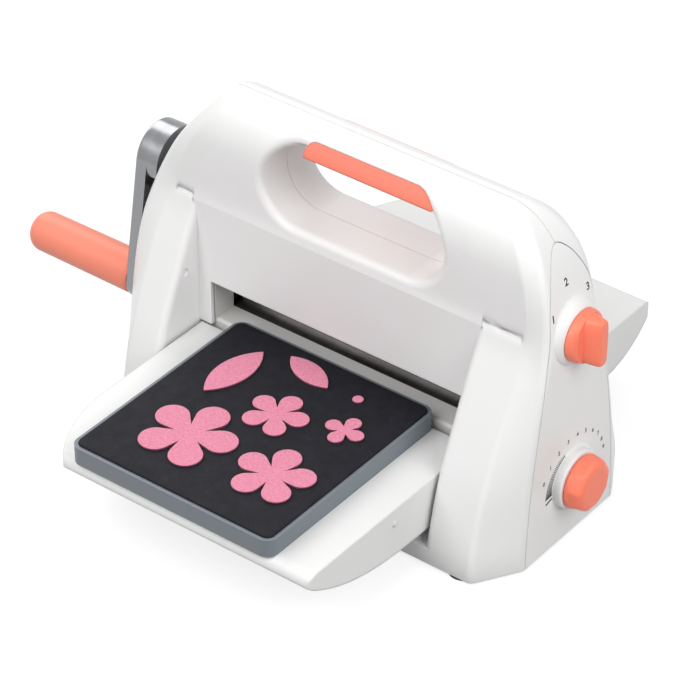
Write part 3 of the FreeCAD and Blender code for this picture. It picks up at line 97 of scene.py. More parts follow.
class Value:
    """A number socket that takes part in Python arithmetic, one Math node to an operation."""

    def __init__(self, nodes: "Nodes", socket: bpy.types.NodeSocket) -> None:
        """Keep the tree's builder and the socket that gives the number."""
        self.nodes = nodes
        self.socket = socket

    def __add__(self, other: Any) -> "Value":
        """Sum."""
        return self.nodes.maths("ADD", self, other)

    __radd__ = __add__

    def __sub__(self, other: Any) -> "Value":
        """Difference."""
        return self.nodes.maths("SUBTRACT", self, other)

    def __rsub__(self, other: Any) -> "Value":
        """Difference from a plain number."""
        return self.nodes.maths("SUBTRACT", other, self)

    def __mul__(self, other: Any) -> "Value":
        """Product."""
        return self.nodes.maths("MULTIPLY", self, other)

    __rmul__ = __mul__

    def __truediv__(self, other: Any) -> "Value":
        """Quotient."""
        return self.nodes.maths("DIVIDE", self, other)

    def __rtruediv__(self, other: Any) -> "Value":
        """Quotient of a plain number."""
        return self.nodes.maths("DIVIDE", other, self)

    def limit(self, low: float = 0.0, high: float = 1.0) -> "Value":
        """The value held between two numbers."""
        return self.nodes.maths("MINIMUM", self.nodes.maths("MAXIMUM", self, low), high)

    def ramp(self, low: float, high: float) -> "Value":
        """Rise from nothing at low to one at high, held at both ends."""
        return ((self - low) / (high - low)).limit()


class Nodes:
    """Builds the nodes of one tree."""

    def __init__(self, tree: bpy.types.NodeTree) -> None:
        """Keep the tree and empty it."""
        self.tree = tree
        tree.nodes.clear()

    def node(self, kind: str, settings: dict[str, Any] | None = None,
             inputs: dict[Any, Any] | None = None) -> bpy.types.Node:
        """Add a node.

        Args:
            kind: the node's type.
            settings: its properties, set before its sockets.
            inputs: socket name or index to a number, a colour, a Value or an output socket.

        Returns:
            The new node.
        """
        made = self.tree.nodes.new(kind)
        for name, value in (settings or {}).items():
            setattr(made, name, value)
        for name, value in (inputs or {}).items():
            self.feed(made.inputs[name], value)
        return made

    def feed(self, target: bpy.types.NodeSocket, value: Any) -> None:
        """Link or set one input socket.

        Args:
            target: the input socket.
            value: a Value or an output socket to link, or else a number or colour to set.
        """
        if isinstance(value, Value):
            value = value.socket
        if isinstance(value, bpy.types.NodeSocket):
            self.tree.links.new(value, target)
        else:
            target.default_value = value

    def maths(self, operation: str, *values: Any) -> Value:
        """Add a Math node and return its result."""
        made = self.node("ShaderNodeMath", {"operation": operation}, dict(enumerate(values)))
        return Value(self, made.outputs[0])

    def mix_shader(self, share: Value, first: bpy.types.Node,
                   second: bpy.types.Node) -> bpy.types.Node:
        """Go from the first shader node to the second by a share."""
        inputs = {0: share, 1: first.outputs[0], 2: second.outputs[0]}
        return self.node("ShaderNodeMixShader", None, inputs)

    def glowing(self, kind: str, power: float) -> bpy.types.Node:
        """A white Emission or Background node; a power of 1 shows as white."""
        return self.node(kind, None, {"Color": grey(1.0), "Strength": power})

    def seen(self) -> Value:
        """Tell the rays that show a surface from those that only light the object.

        Returns:
            One where a camera, mirror or glass ray arrives, and otherwise nothing.
        """
        path = self.node("ShaderNodeLightPath").outputs
        direct = Value(self, path["Is Camera Ray"]) + path["Is Glossy Ray"]
        return (direct + path["Is Transmission Ray"]).limit()


class Shader(Nodes):
    """Builds one procedural material."""

    def __init__(self, name: str) -> None:
        """Make a material with a Principled shader and an output.

        Args:
            name: the material's name.
        """
        self.material = bpy.data.materials.new(name)
        self.material.use_nodes = True
        super().__init__(self.material.node_tree)
        self.surface = self.node("ShaderNodeBsdfPrincipled")
        self.output = self.node("ShaderNodeOutputMaterial")
        self.feed(self.output.inputs["Surface"], self.surface.outputs["BSDF"])

    def place(self, scale: Sequence[float] = (1.0, 1.0, 1.0)) -> bpy.types.NodeSocket:
        """Object coordinates stretched along each axis."""
        inputs = {"Vector": self.node("ShaderNodeTexCoord").outputs["Object"], "Scale": scale}
        return self.node("ShaderNodeMapping", None, inputs).outputs["Vector"]

    def axis(self, letter: str) -> Value:
        """One object coordinate, in metres."""
        source = self.node("ShaderNodeTexCoord").outputs["Object"]
        return Value(self, self.node("ShaderNodeSeparateXYZ", None, {0: source}).outputs[letter])

    def noise(self, size_mm: float, detail: float,
              stretch: Sequence[float] = (1.0, 1.0, 1.0)) -> Value:
        """Soft noise whose cells measure about size_mm."""
        inputs = {"Vector": self.place(stretch), "Scale": 1 / (size_mm * MM), "Detail": detail}
        return Value(self, self.node("ShaderNodeTexNoise", None, inputs).outputs["Fac"])

    def cells(self, size_mm: float) -> Value:
        """Distance to the nearest of scattered points about size_mm apart."""
        inputs = {"Vector": self.place(), "Scale": 1 / (size_mm * MM)}
        return Value(self, self.node("ShaderNodeTexVoronoi", None, inputs).outputs["Distance"])

    def blend(self, share: Value, first: Any, second: Any) -> bpy.types.NodeSocket:
        """Go from the first colour to the second by a share."""
        inputs = {"Factor": share, 6: first, 7: second}
        return self.node("ShaderNodeMix", {"data_type": "RGBA"}, inputs).outputs[2]

    def bump(self, height: Value, depth_mm: float, strength: float,
             edge_mm: float = 0.0) -> bpy.types.NodeSocket:
        """A Bump node fed by a height, giving a normal.

        Args:
            height: the height to raise.
            depth_mm: how far it rises.
            strength: share of the effect.
            edge_mm: radius over which sharp edges shade as if they were rounded.

        Returns:
            The normal's socket.
        """
        inputs = {"Height": height, "Distance": depth_mm * MM, "Strength": strength}
        if edge_mm:
            soft = self.node("ShaderNodeBevel", {"samples": 6}, {"Radius": edge_mm * MM})
            inputs["Normal"] = soft.outputs["Normal"]
        return self.node("ShaderNodeBump", None, inputs).outputs["Normal"]

    def dress(self, **values: Any) -> None:
        """Set or link the shader's own sockets; an underscore stands for a space."""
        for name, value in values.items():
            self.feed(self.surface.inputs[name.replace("_", " ")], value)


def rgba(colour: Colour, factor: float = 1.0) -> tuple[float, float, float, float]:
    """A colour with full cover, made lighter or darker by a factor."""
    return tuple(min(1.0, part * factor) for part in colour) + (1.0,)


def grey(level: float) -> tuple[float, float, float, float]:
    """A grey with full cover."""
    return rgba((level, level, level))


# Finishes


@dataclass(frozen=True)
class Finish(ABC):
    """What every finish has: a name and a main colour."""

    name: str
    colour: Colour

    def material(self) -> bpy.types.Material:
        """Build the finish's material.

        Returns:
            The new material.
        """
        shader = Shader(self.name)
        self.shade(shader)
        return shader.material

    @abstractmethod
    def shade(self, shader: Shader) -> None:
        """Add what this kind of finish shows to an empty material."""


@dataclass(frozen=True)
class MouldedPlastic(Finish):
    """Satin moulded plastic with a fine spark eroded grain and slight clouding."""

    roughness: float = 0.34
    grain_mm: float = 0.35
    grain_depth: float = 0.006
    edge_mm: float = 0.0
    clouding: float = 0.03
    cloud_mm: float = 60.0
    cloud_roughness: float = 0.08
    grain_roughness: float = 0.06
    ripple_mm: float = 14.0
    ripple_share: float = 0.8
    relief: float = 0.5
    ior: float = 1.46

    def shade(self, shader: Shader) -> None:
        """Cloud the colour, and raise the grain over a broad ripple from the mould.

        Args:
            shader: the material to fill.
        """
        cloud = shader.noise(self.cloud_mm, 3.0)
        grain = shader.noise(self.grain_mm, 2.0)
        ripple = shader.noise(self.ripple_mm, 1.0)
        dull = rgba(self.colour, 1.0 - self.clouding)
        shader.dress(
            Base_Color=shader.blend(cloud.ramp(0.3, 0.7), dull, rgba(self.colour)),
            Roughness=(self.roughness + (cloud - 0.5) * self.cloud_roughness
                       + (grain - 0.5) * self.grain_roughness),
            Normal=shader.bump(grain + ripple * self.ripple_share, self.grain_depth, self.relief,
                               self.edge_mm),
            IOR=self.ior)


class Lay(Enum):
    """The way of a metal's tool marks, as the stretch of the noise along each axis."""

    UPRIGHT = (1.0, 1.0, 0.03)
    TURNED = (1.0, 0.08, 0.08)


@dataclass(frozen=True)
class BrushedMetal(Finish):
    """Metal with fine straight or turned tool marks."""

    lay: Lay = Lay.UPRIGHT
    roughness: float = 0.3
    mark_mm: float = 0.25
    depth: float = 0.004
    contrast: float = 0.22
    band_mm: float = 9.0
    band_share: float = 0.4
    wear_mm: float = 26.0
    mark_roughness: float = 0.2
    wear_roughness: float = 0.12
    relief: float = 0.6
    anisotropy: float = 0.35

    def shade(self, shader: Shader) -> None:
        """Squeeze noise across the marks and stretch it along them, over broader wear.

        Args:
            shader: the material to fill.
        """
        marks = shader.noise(self.mark_mm, 4.0, self.lay.value)
        bands = shader.noise(self.band_mm, 2.0, self.lay.value)
        wear = shader.noise(self.wear_mm, 4.0)
        dark = rgba(self.colour, 1.0 - self.contrast)
        bright = rgba(self.colour, 1.0 + self.contrast / 2)
        share = marks * (1.0 - self.band_share) + bands * self.band_share
        roughness = (self.roughness + (marks - 0.5) * self.mark_roughness
                     + (wear - 0.5) * self.wear_roughness)
        shader.dress(
            Base_Color=shader.blend(share.ramp(0.3, 0.7), dark, bright),
            Roughness=roughness.limit(0.08, 0.9),
            Normal=shader.bump(marks + bands * self.band_share, self.depth, self.relief),
            Metallic=1.0, Anisotropic=self.anisotropy)


@dataclass(frozen=True)
class FoamSkin(Finish):
    """Dark closed cell foam: a dense bed of tiny open bubbles."""

    cell_mm: float = 0.55
    coarse_mm: float = 1.76
    coarse_share: float = 0.5
    pit_depth: float = 0.16
    relief: float = 0.55
    dapple_mm: float = 7.0
    roughness: float = 0.74
    dapple_roughness: float = 0.12
    dark_and_pale: Place = (0.72, 1.45)
    ior: float = 1.28

    def shade(self, shader: Shader) -> None:
        """Pit the skin with scattered cells of two sizes, and dapple it.

        Args:
            shader: the material to fill.
        """
        cells = shader.cells(self.cell_mm)
        coarse = shader.cells(self.coarse_mm)
        dapple = shader.noise(self.dapple_mm, 4.0)
        share = (dapple * 0.6 + cells * 0.5).ramp(0.35, 0.85)
        dark, pale = (rgba(self.colour, factor) for factor in self.dark_and_pale)
        shader.dress(
            Base_Color=shader.blend(share, dark, pale),
            Roughness=self.roughness - dapple * self.dapple_roughness,
            Normal=shader.bump(cells + coarse * self.coarse_share, self.pit_depth, self.relief),
            IOR=self.ior)


@dataclass(frozen=True)
class Felt(Finish):
    """Pressed wool felt: matted short fibres in fine streaks, with painted shade at the foot of the
    cut edge.
    """

    shadow: Colour = (0.58, 0.15, 0.25)
    # painted shade: the dark colour laid on the foot of the cut edge, where the felt meets the foam
    edge: Colour = (0.12, 0.01, 0.035)
    foot: float = 0.0
    thickness: float = 1.25 * MM
    # painted shade: shares of the thickness over which the painted shade at the foot fades into the
    # face
    edge_rise: Place = (0.6, 0.98)
    fibre_mm: float = 0.8
    fibre_stretch: float = 0.45
    fibre_share: float = 0.45
    fleck_mm: float = 0.45
    fleck_share: float = 0.3
    nap_depth: float = 0.35
    relief: float = 0.6
    roughness: float = 0.9
    fleck_roughness: float = 0.1
    sheen: Place = (0.25, 0.5)

    def shade(self, shader: Shader) -> None:
        """Cross two stretched noises, add a fine fleck, and paint shade towards the foot of the cut.

        The colour rises from the painted shade at the foot of the cut edge between two shares of the
        thickness.

        Args:
            shader: the material to fill.
        """
        along = shader.noise(self.fibre_mm, 6.0, (1.0, self.fibre_stretch, 1.0))
        across = shader.noise(self.fibre_mm, 6.0, (self.fibre_stretch, 1.0, 1.0))
        fleck = shader.noise(self.fleck_mm, 3.0)
        fibres = along * self.fibre_share + across * self.fibre_share + fleck * self.fleck_share
        face = shader.blend(fibres.ramp(0.46, 0.74), rgba(self.shadow), rgba(self.colour))
        # painted shade: darken the felt towards the foot of its cut edge, where it meets the foam
        low, high = (self.foot + self.thickness * share for share in self.edge_rise)
        shader.dress(
            Base_Color=shader.blend(shader.axis("Z").ramp(low, high), rgba(self.edge), face),
            Roughness=self.roughness + (fleck - 0.5) * self.fleck_roughness,
            Normal=shader.bump(fibres, self.nap_depth, self.relief),
            Sheen_Weight=self.sheen[0], Sheen_Roughness=self.sheen[1])


@dataclass(frozen=True)
class MouldedRubber(Finish):
    """Matt black rubber with dust caught in its pores."""

    pore_mm: float = 0.5
    pore_depth: float = 0.05
    relief: float = 0.6
    dust_mm: float = 9.0
    dust_factor: float = 2.6

    def shade(self, shader: Shader) -> None:
        """Pit the surface with pores and lay patches of dust over it.

        Args:
            shader: the material to fill.
        """
        pores = shader.noise(self.pore_mm, 4.0)
        dust = shader.noise(self.dust_mm, 5.0)
        dusty = rgba(self.colour, self.dust_factor)
        shader.dress(
            Base_Color=shader.blend(dust.ramp(0.5, 0.8), rgba(self.colour), dusty),
            Roughness=pores * 0.2 + 0.7,
            Normal=shader.bump(pores, self.pore_depth, self.relief))


@dataclass(frozen=True)
class PrintInk(Finish):
    """Thin dark pad printing, a little worn."""

    wear_mm: float = 0.8
    wear_factor: float = 2.0

    def shade(self, shader: Shader) -> None:
        """Let small worn spots show lighter and rougher.

        Args:
            shader: the material to fill.
        """
        wear = shader.noise(self.wear_mm, 5.0)
        worn = rgba(self.colour, self.wear_factor)
        shader.dress(
            Base_Color=shader.blend(wear.ramp(0.55, 0.8), rgba(self.colour), worn),
            Roughness=wear * 0.2 + 0.45)


WHITE: Colour = (0.80, 0.80, 0.795)
CORAL: Colour = (0.96, 0.215, 0.125)

# The finish of every material slot
FINISHES: dict[str, Finish] = {
    "shell_plastic": MouldedPlastic("shell_white", WHITE, 0.36, edge_mm=1.0),
    "panel_plastic": MouldedPlastic("panel_white", WHITE, 0.36),
    "cover_plastic": MouldedPlastic("cover_white", WHITE, 0.36),
    "flap_plastic": MouldedPlastic("flap_white", (0.765, 0.765, 0.76), 0.38, edge_mm=2.0),
    "bed_plastic": MouldedPlastic("bed_white", (0.66, 0.65, 0.63), 0.42),
    "base_plastic": MouldedPlastic("base_grey", (0.2, 0.2, 0.205), 0.5),
    "foot_rubber": MouldedRubber("foot_black", (0.015, 0.015, 0.016)),
    "insert_coral": MouldedPlastic("insert_coral", (0.80, 0.19, 0.12), 0.42, 0.4, 0.01, 1.2),
    "knob_coral": MouldedPlastic("knob_coral", CORAL, 0.4, 0.3, 0.006, 0.9),
    "grip_coral": MouldedPlastic("grip_coral", (0.90, 0.255, 0.165), 0.42, 0.35, 0.008),
    "ring_plastic": MouldedPlastic("ring_white", WHITE, 0.38, edge_mm=0.5),
    "frame_steel": BrushedMetal("frame_zinc", (0.42, 0.43, 0.45), Lay.UPRIGHT, 0.42),
    "pin_steel": BrushedMetal("pin_bright", (0.55, 0.56, 0.58), Lay.TURNED, 0.28),
    "roller_steel": BrushedMetal("roller_dark", (0.13, 0.12, 0.115), Lay.TURNED, 0.4, 0.3, 0.006,
                                 0.35),
    "gear_steel": BrushedMetal("gear_sintered", (0.3, 0.3, 0.31), Lay.TURNED, 0.45),
    "block_nylon": MouldedPlastic("block_black", (0.03, 0.03, 0.032), 0.5),
    "screw_steel": BrushedMetal("screw_zinc", (0.5, 0.5, 0.5), Lay.TURNED, 0.35),
    "arm_metal": BrushedMetal("arm_satin", (0.27, 0.275, 0.285), Lay.UPRIGHT, 0.22, 0.3, 0.003,
                              0.14),
    "cam_nylon": MouldedPlastic("cam_natural", (0.66, 0.63, 0.55), 0.45),
    "tray_plastic": MouldedPlastic("tray_grey", (0.16, 0.185, 0.205), 0.42),
    "foam_black": FoamSkin("foam_black", (0.010, 0.010, 0.0145)),
    "felt_pink": Felt("felt_pink", (0.74, 0.27, 0.38)),
}


def dress_nodes() -> None:
    """Give every CAD node the finish of its material slot."""
    slots = {entry["node"]: entry["material_slot"] for entry in frame["record"]["subparts"]}
    made = {slot: finish.material() for slot, finish in FINISHES.items()}
    for name, node in frame["nodes"].items():
        node.data.materials.clear()
        node.data.materials.append(made[slots[name]])
    LOG.info("dressed %d CAD nodes in %d finishes", len(slots), len(made))


# Mesh building


def mesh_object(name: str, points: Array, faces: list[list[int]], material: bpy.types.Material,
                smooth: bool = True) -> bpy.types.Object:
    """Make a mesh object at the origin.

    Args:
        name: the piece's name.
        points: an N by 3 array in metres.
        faces: vertex numbers of each face, turning anticlockwise seen from outside.
        material: its finish.
        smooth: whether its faces shade smoothly.

    Returns:
        The new object, linked to the scene.
    """
    mesh = bpy.data.meshes.new(name)
    mesh.from_pydata(points.tolist(), [], faces)
    mesh.materials.append(material)
    mesh.polygons.foreach_set("use_smooth", [smooth] * len(mesh.polygons))
    mesh.update()
    piece = bpy.data.objects.new(name, mesh)
    bpy.context.scene.collection.objects.link(piece)
    LOG.info("made %s with %d faces", name, len(mesh.polygons))
    return piece


def capped_rings(points: Array) -> tuple[Array, list[list[int]]]:
    """Join a stack of rings with quads and close both ends with fans.

    Args:
        points: rings by points by 3, turning anticlockwise seen from above and rising outside.

    Returns:
        The points with two pole points added, and the faces.
    """
    rings, count, _ = points.shape
    start, step = np.meshgrid(np.arange(rings) * count, np.arange(count), indexing="ij")
    here, after = start + step, start + (step + 1) % count
    sides = np.stack([here[:-1], after[:-1], after[1:], here[1:]], -1).reshape(-1, 4)
    foot = np.stack([np.full(count, rings * count), after[0], here[0]], -1)
    top = np.stack([np.full(count, rings * count + 1), here[-1], after[-1]], -1)
    poles = np.stack([points[0].mean(0), points[-1].mean(0)])
    faces = sides.tolist() + foot.tolist() + top.tolist()
    return np.concatenate([points.reshape(-1, 3), poles]), faces


def raised(outlines: Array, heights: Array) -> Array:
    """Lift each flat outline to its own height.

    Args:
        outlines: rings by points by 2.
        heights: one height to a ring.

    Returns:
        rings by points by 3.
    """
    level = np.broadcast_to(heights[:, None, None], outlines.shape[:2] + (1,))
    return np.concatenate([outlines, level], -1)


def rounded_rectangle(half: Place, radius: Array, inset: Array, corner_points: int = 7,
                      side_points: int = 10) -> Array:
    """Closed outlines of rounded rectangles.

    Each corner is a quarter circle, and each side is the straight chord to the next corner, cut
    by a few even points so that the surface stays evenly divided.

    Args:
        half: half width and half length.
        radius: corner radius of each ring.
        inset: how far each ring lies inside the outline.
        corner_points: points to a corner.
        side_points: points to a side, between its corners.

    Returns:
        rings by points by 2.
    """
    corners = []
    for quarter, signs in enumerate([(1, 1), (-1, 1), (-1, -1), (1, -1)]):
        angle = np.linspace(0, math.pi / 2, corner_points) + quarter * math.pi / 2
        arc = np.stack([np.cos(angle), np.sin(angle)], -1)
        centres = np.array(signs) * (np.array(half) - (inset + radius)[:, None])
        corners.append(centres[:, None] + arc * radius[:, None, None])
    share = np.linspace(0, 1, side_points + 2)[1:-1, None]
    pieces = []
    for corner, ahead in zip(corners, corners[1:] + corners[:1]):
        pieces += [corner, corner[:, -1:] * (1 - share) + ahead[:, :1] * share]
    return np.concatenate(pieces, 1)


# The die


@dataclass(frozen=True)
class Flower:
    """A felt flower, or a dot where it has no petals, in millimetres from the foam's middle."""

    name: str
    centre: Place
    radius: float
    petals: int = 0
    turn: float = 0.0
    petal_share: float = 0.338
    heart_share: float = 0.28
    notch_power: float = 0.7

    def outline(self, points: int = 240) -> Array:
        """Outline of the flower.

        Each petal is a circle seen from the flower's centre: at an angle a off the petal's axis
        the edge lies at d cos a + sqrt(c c - d d sin a sin a), for a circle of radius c at
        distance d. Between petals the edge falls back to the heart, by a power of the share of
        the way to the notch.

        Args:
            points: points round the flower.

        Returns:
            points by 2, in metres, after the centre in the first row.
        """
        angle = np.linspace(0, 2 * math.pi, points + 1)[:-1]
        reach = np.full(points, self.radius)
        if self.petals:
            circle = self.petal_share * self.radius
            distance = self.radius - circle
            pitch = 2 * math.pi / self.petals
            off = (angle - math.radians(self.turn) + pitch / 2) % pitch - pitch / 2
            inside = circle ** 2 - (distance * np.sin(off)) ** 2
            petal = distance * np.cos(off) + np.sqrt(np.maximum(inside, 0))
            edge = math.asin(circle / distance)
            side = math.sqrt(distance ** 2 - circle ** 2)
            share = np.clip((np.abs(off) - edge) / (pitch / 2 - edge), 0, 1) ** self.notch_power
            notch = side + (self.heart_share * self.radius - side) * share
            reach = np.where(inside > 0, petal, notch)
        around = np.stack([reach * np.cos(angle), reach * np.sin(angle)], -1)
        return np.concatenate([[self.centre], self.centre + around]) * MM


@dataclass(frozen=True)
class Leaf:
    """A felt leaf from tip to tip, in millimetres from the foam's middle."""

    name: str
    start: Place
    end: Place
    half_width: float

    def outline(self, points: int = 40) -> Array:
        """Outline of the leaf: two arcs of a circle through its tips.

        Half the leaf's length l and its half width w give the circle's radius,
        (l l + w w) / (2 w), and half the angle that an arc spans, whose sine is l over the radius.

        Args:
            points: points to each arc.

        Returns:
            points by 2, in metres, after the middle in the first row.
        """
        first, last = np.array(self.start), np.array(self.end)
        centre, half = (first + last) / 2, float(np.linalg.norm(last - first)) / 2
        along = (last - first) / (2 * half)
        across = np.array([-along[1], along[0]])
        radius = (half ** 2 + self.half_width ** 2) / (2 * self.half_width)
        sweep = math.asin(half / radius)
        angle = np.linspace(-sweep, sweep, points + 1)[:-1]
        height = self.half_width - radius + radius * np.cos(angle)
        side = np.stack([radius * np.sin(angle), height], -1)
        local = np.concatenate([-side, side])
        return np.concatenate([[centre], centre + local @ np.stack([along, across])]) * MM


@dataclass
class CuttingDie:
    """The foam filled die on the front flap, and the felt shapes cut with it."""

    corner: float = 4.8 * MM
    least_radius: float = 0.3 * MM
    foot_share: float = 0.9
    foot_insets: Place = (0.3 * MM, 0.0)
    foot_heights: tuple[float, ...] = (0.2 * MM, 0.2 * MM, 0.6 * MM)
    lip: float = 1.1 * MM
    lip_drop: float = 1.21 * MM
    swell: float = 0.1 * MM
    top_shares: tuple[float, ...] = (0.12, 0.3, 0.5, 0.7, 0.88, 0.97)
    felt_thickness: float = 1.25 * MM
    # inset in millimetres and share of the thickness, from the underside up round the cut edge
    felt_edge: Rows = ((0.25, 0.02), (0.0, 0.25), (0.0, 0.7), (0.15, 0.92), (0.5, 1.0))
    felt_underside: float = 0.4
    felt_face: tuple[float, ...] = (0.75, 0.4, 0.15)
    edge_softness: float = 0.2 * MM
    smallest_sheet: float = 10 * MM
    shapes: tuple[Flower | Leaf, ...] = (
        Flower("felt_flower_large", (-22.0, -28.6), 28.6, 5, 15.0),
        Flower("felt_flower_middle", (4.5, 13.9), 19.3, 5, 16.0),
        Flower("felt_flower_near", (36.5, -29.1), 24.0, 5, 27.0),
        Flower("felt_flower_small", (43.0, 25.4), 12.5, 4, -1.0, 0.37),
        Flower("felt_dot", (31.6, 52.2), 3.2),
        Leaf("felt_leaf_large", (-41.0, 6.4), (-37.2, 54.6), 9.8),
        Leaf("felt_leaf_small", (-22.5, 60.9), (12.0, 49.9), 7.6),
    )

    def build(self) -> None:
        self.build_foam()
        self.felt_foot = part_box("die_felt_shapes")[0].z
        finish = replace(FINISHES["felt_pink"], name="felt_pink_cut", foot=self.felt_foot,
                         thickness=self.felt_thickness).material()
        made = [self.cut_felt(shape.name, shape.outline(), finish) for shape in self.shapes]
        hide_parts("die_felt_shapes")

    def build_foam(self) -> None:
        """The foam block: a rounded rectangle whose top edge rolls over and whose top swells.

        The edge's height and inset follow a quarter circle of the lip's radius. From there to the
        middle the top rises by the swell times the sine of a share of a quarter turn. The shares
        are how far each ring lies from the outline towards the middle.
        """
        low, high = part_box("die_foam")
        half = ((high.x - low.x) / 2, (high.y - low.y) / 2)
        roll = np.linspace(0, math.pi / 2, 6)
        inner = np.array(self.top_shares)
        inset = np.concatenate([[half[0] * self.foot_share, *self.foot_insets],
                                self.lip * (1 - np.cos(roll)), half[0] * inner])
        height = np.concatenate([low.z + np.array(self.foot_heights),
                                 high.z - self.lip_drop + self.lip * np.sin(roll),
                                 high.z - self.swell + self.swell * np.sin(inner * math.pi / 2)])
        radius = np.maximum(self.corner - inset, self.least_radius)
        outline = rounded_rectangle(half, radius, inset) + middle("die_foam")[:2]
        finish = replace(FINISHES["foam_black"], name="foam_pad").material()
        foam = mesh_object("foam_pad", *capped_rings(raised(outline, height)), finish)
        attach(foam, "die")
        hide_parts("die_foam")

    def cut_felt(self, name: str, outline: Array, finish: bpy.types.Material) -> bpy.types.Object:
        """A piece of felt lying on the foam, with a soft edge.

        Each ring is the outline scaled towards its centre.

        Args:
            name: the piece's name.
            outline: its centre, then its edge points, from the middle of the foam.
            finish: the felt material.

        Returns:
            The new piece.
        """
        outline = outline + middle("die_foam")[:2]
        centre, edge = outline[0], outline[1:]
        if np.cross(edge[1] - edge[0], centre - edge[0]) < 0:
            edge = edge[::-1]
        span = float(np.abs(edge - centre).max())
        inset, rise = np.array(self.felt_edge).T
        share = np.concatenate([[self.felt_underside], 1 - inset * MM / span, self.felt_face])
        rise = np.concatenate([rise[:1], rise, np.ones(len(self.felt_face))])
        rings = centre + (edge - centre) * share[:, None, None]
        heights = self.felt_foot + self.felt_thickness * rise
        piece = mesh_object(name, *capped_rings(raised(rings, heights)), finish)
        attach(piece, "die")
        width, length = edge.max(0) - edge.min(0) + self.edge_softness
        min(width, length) >= self.smallest_sheet
        return piece


# The knobs and the print round them


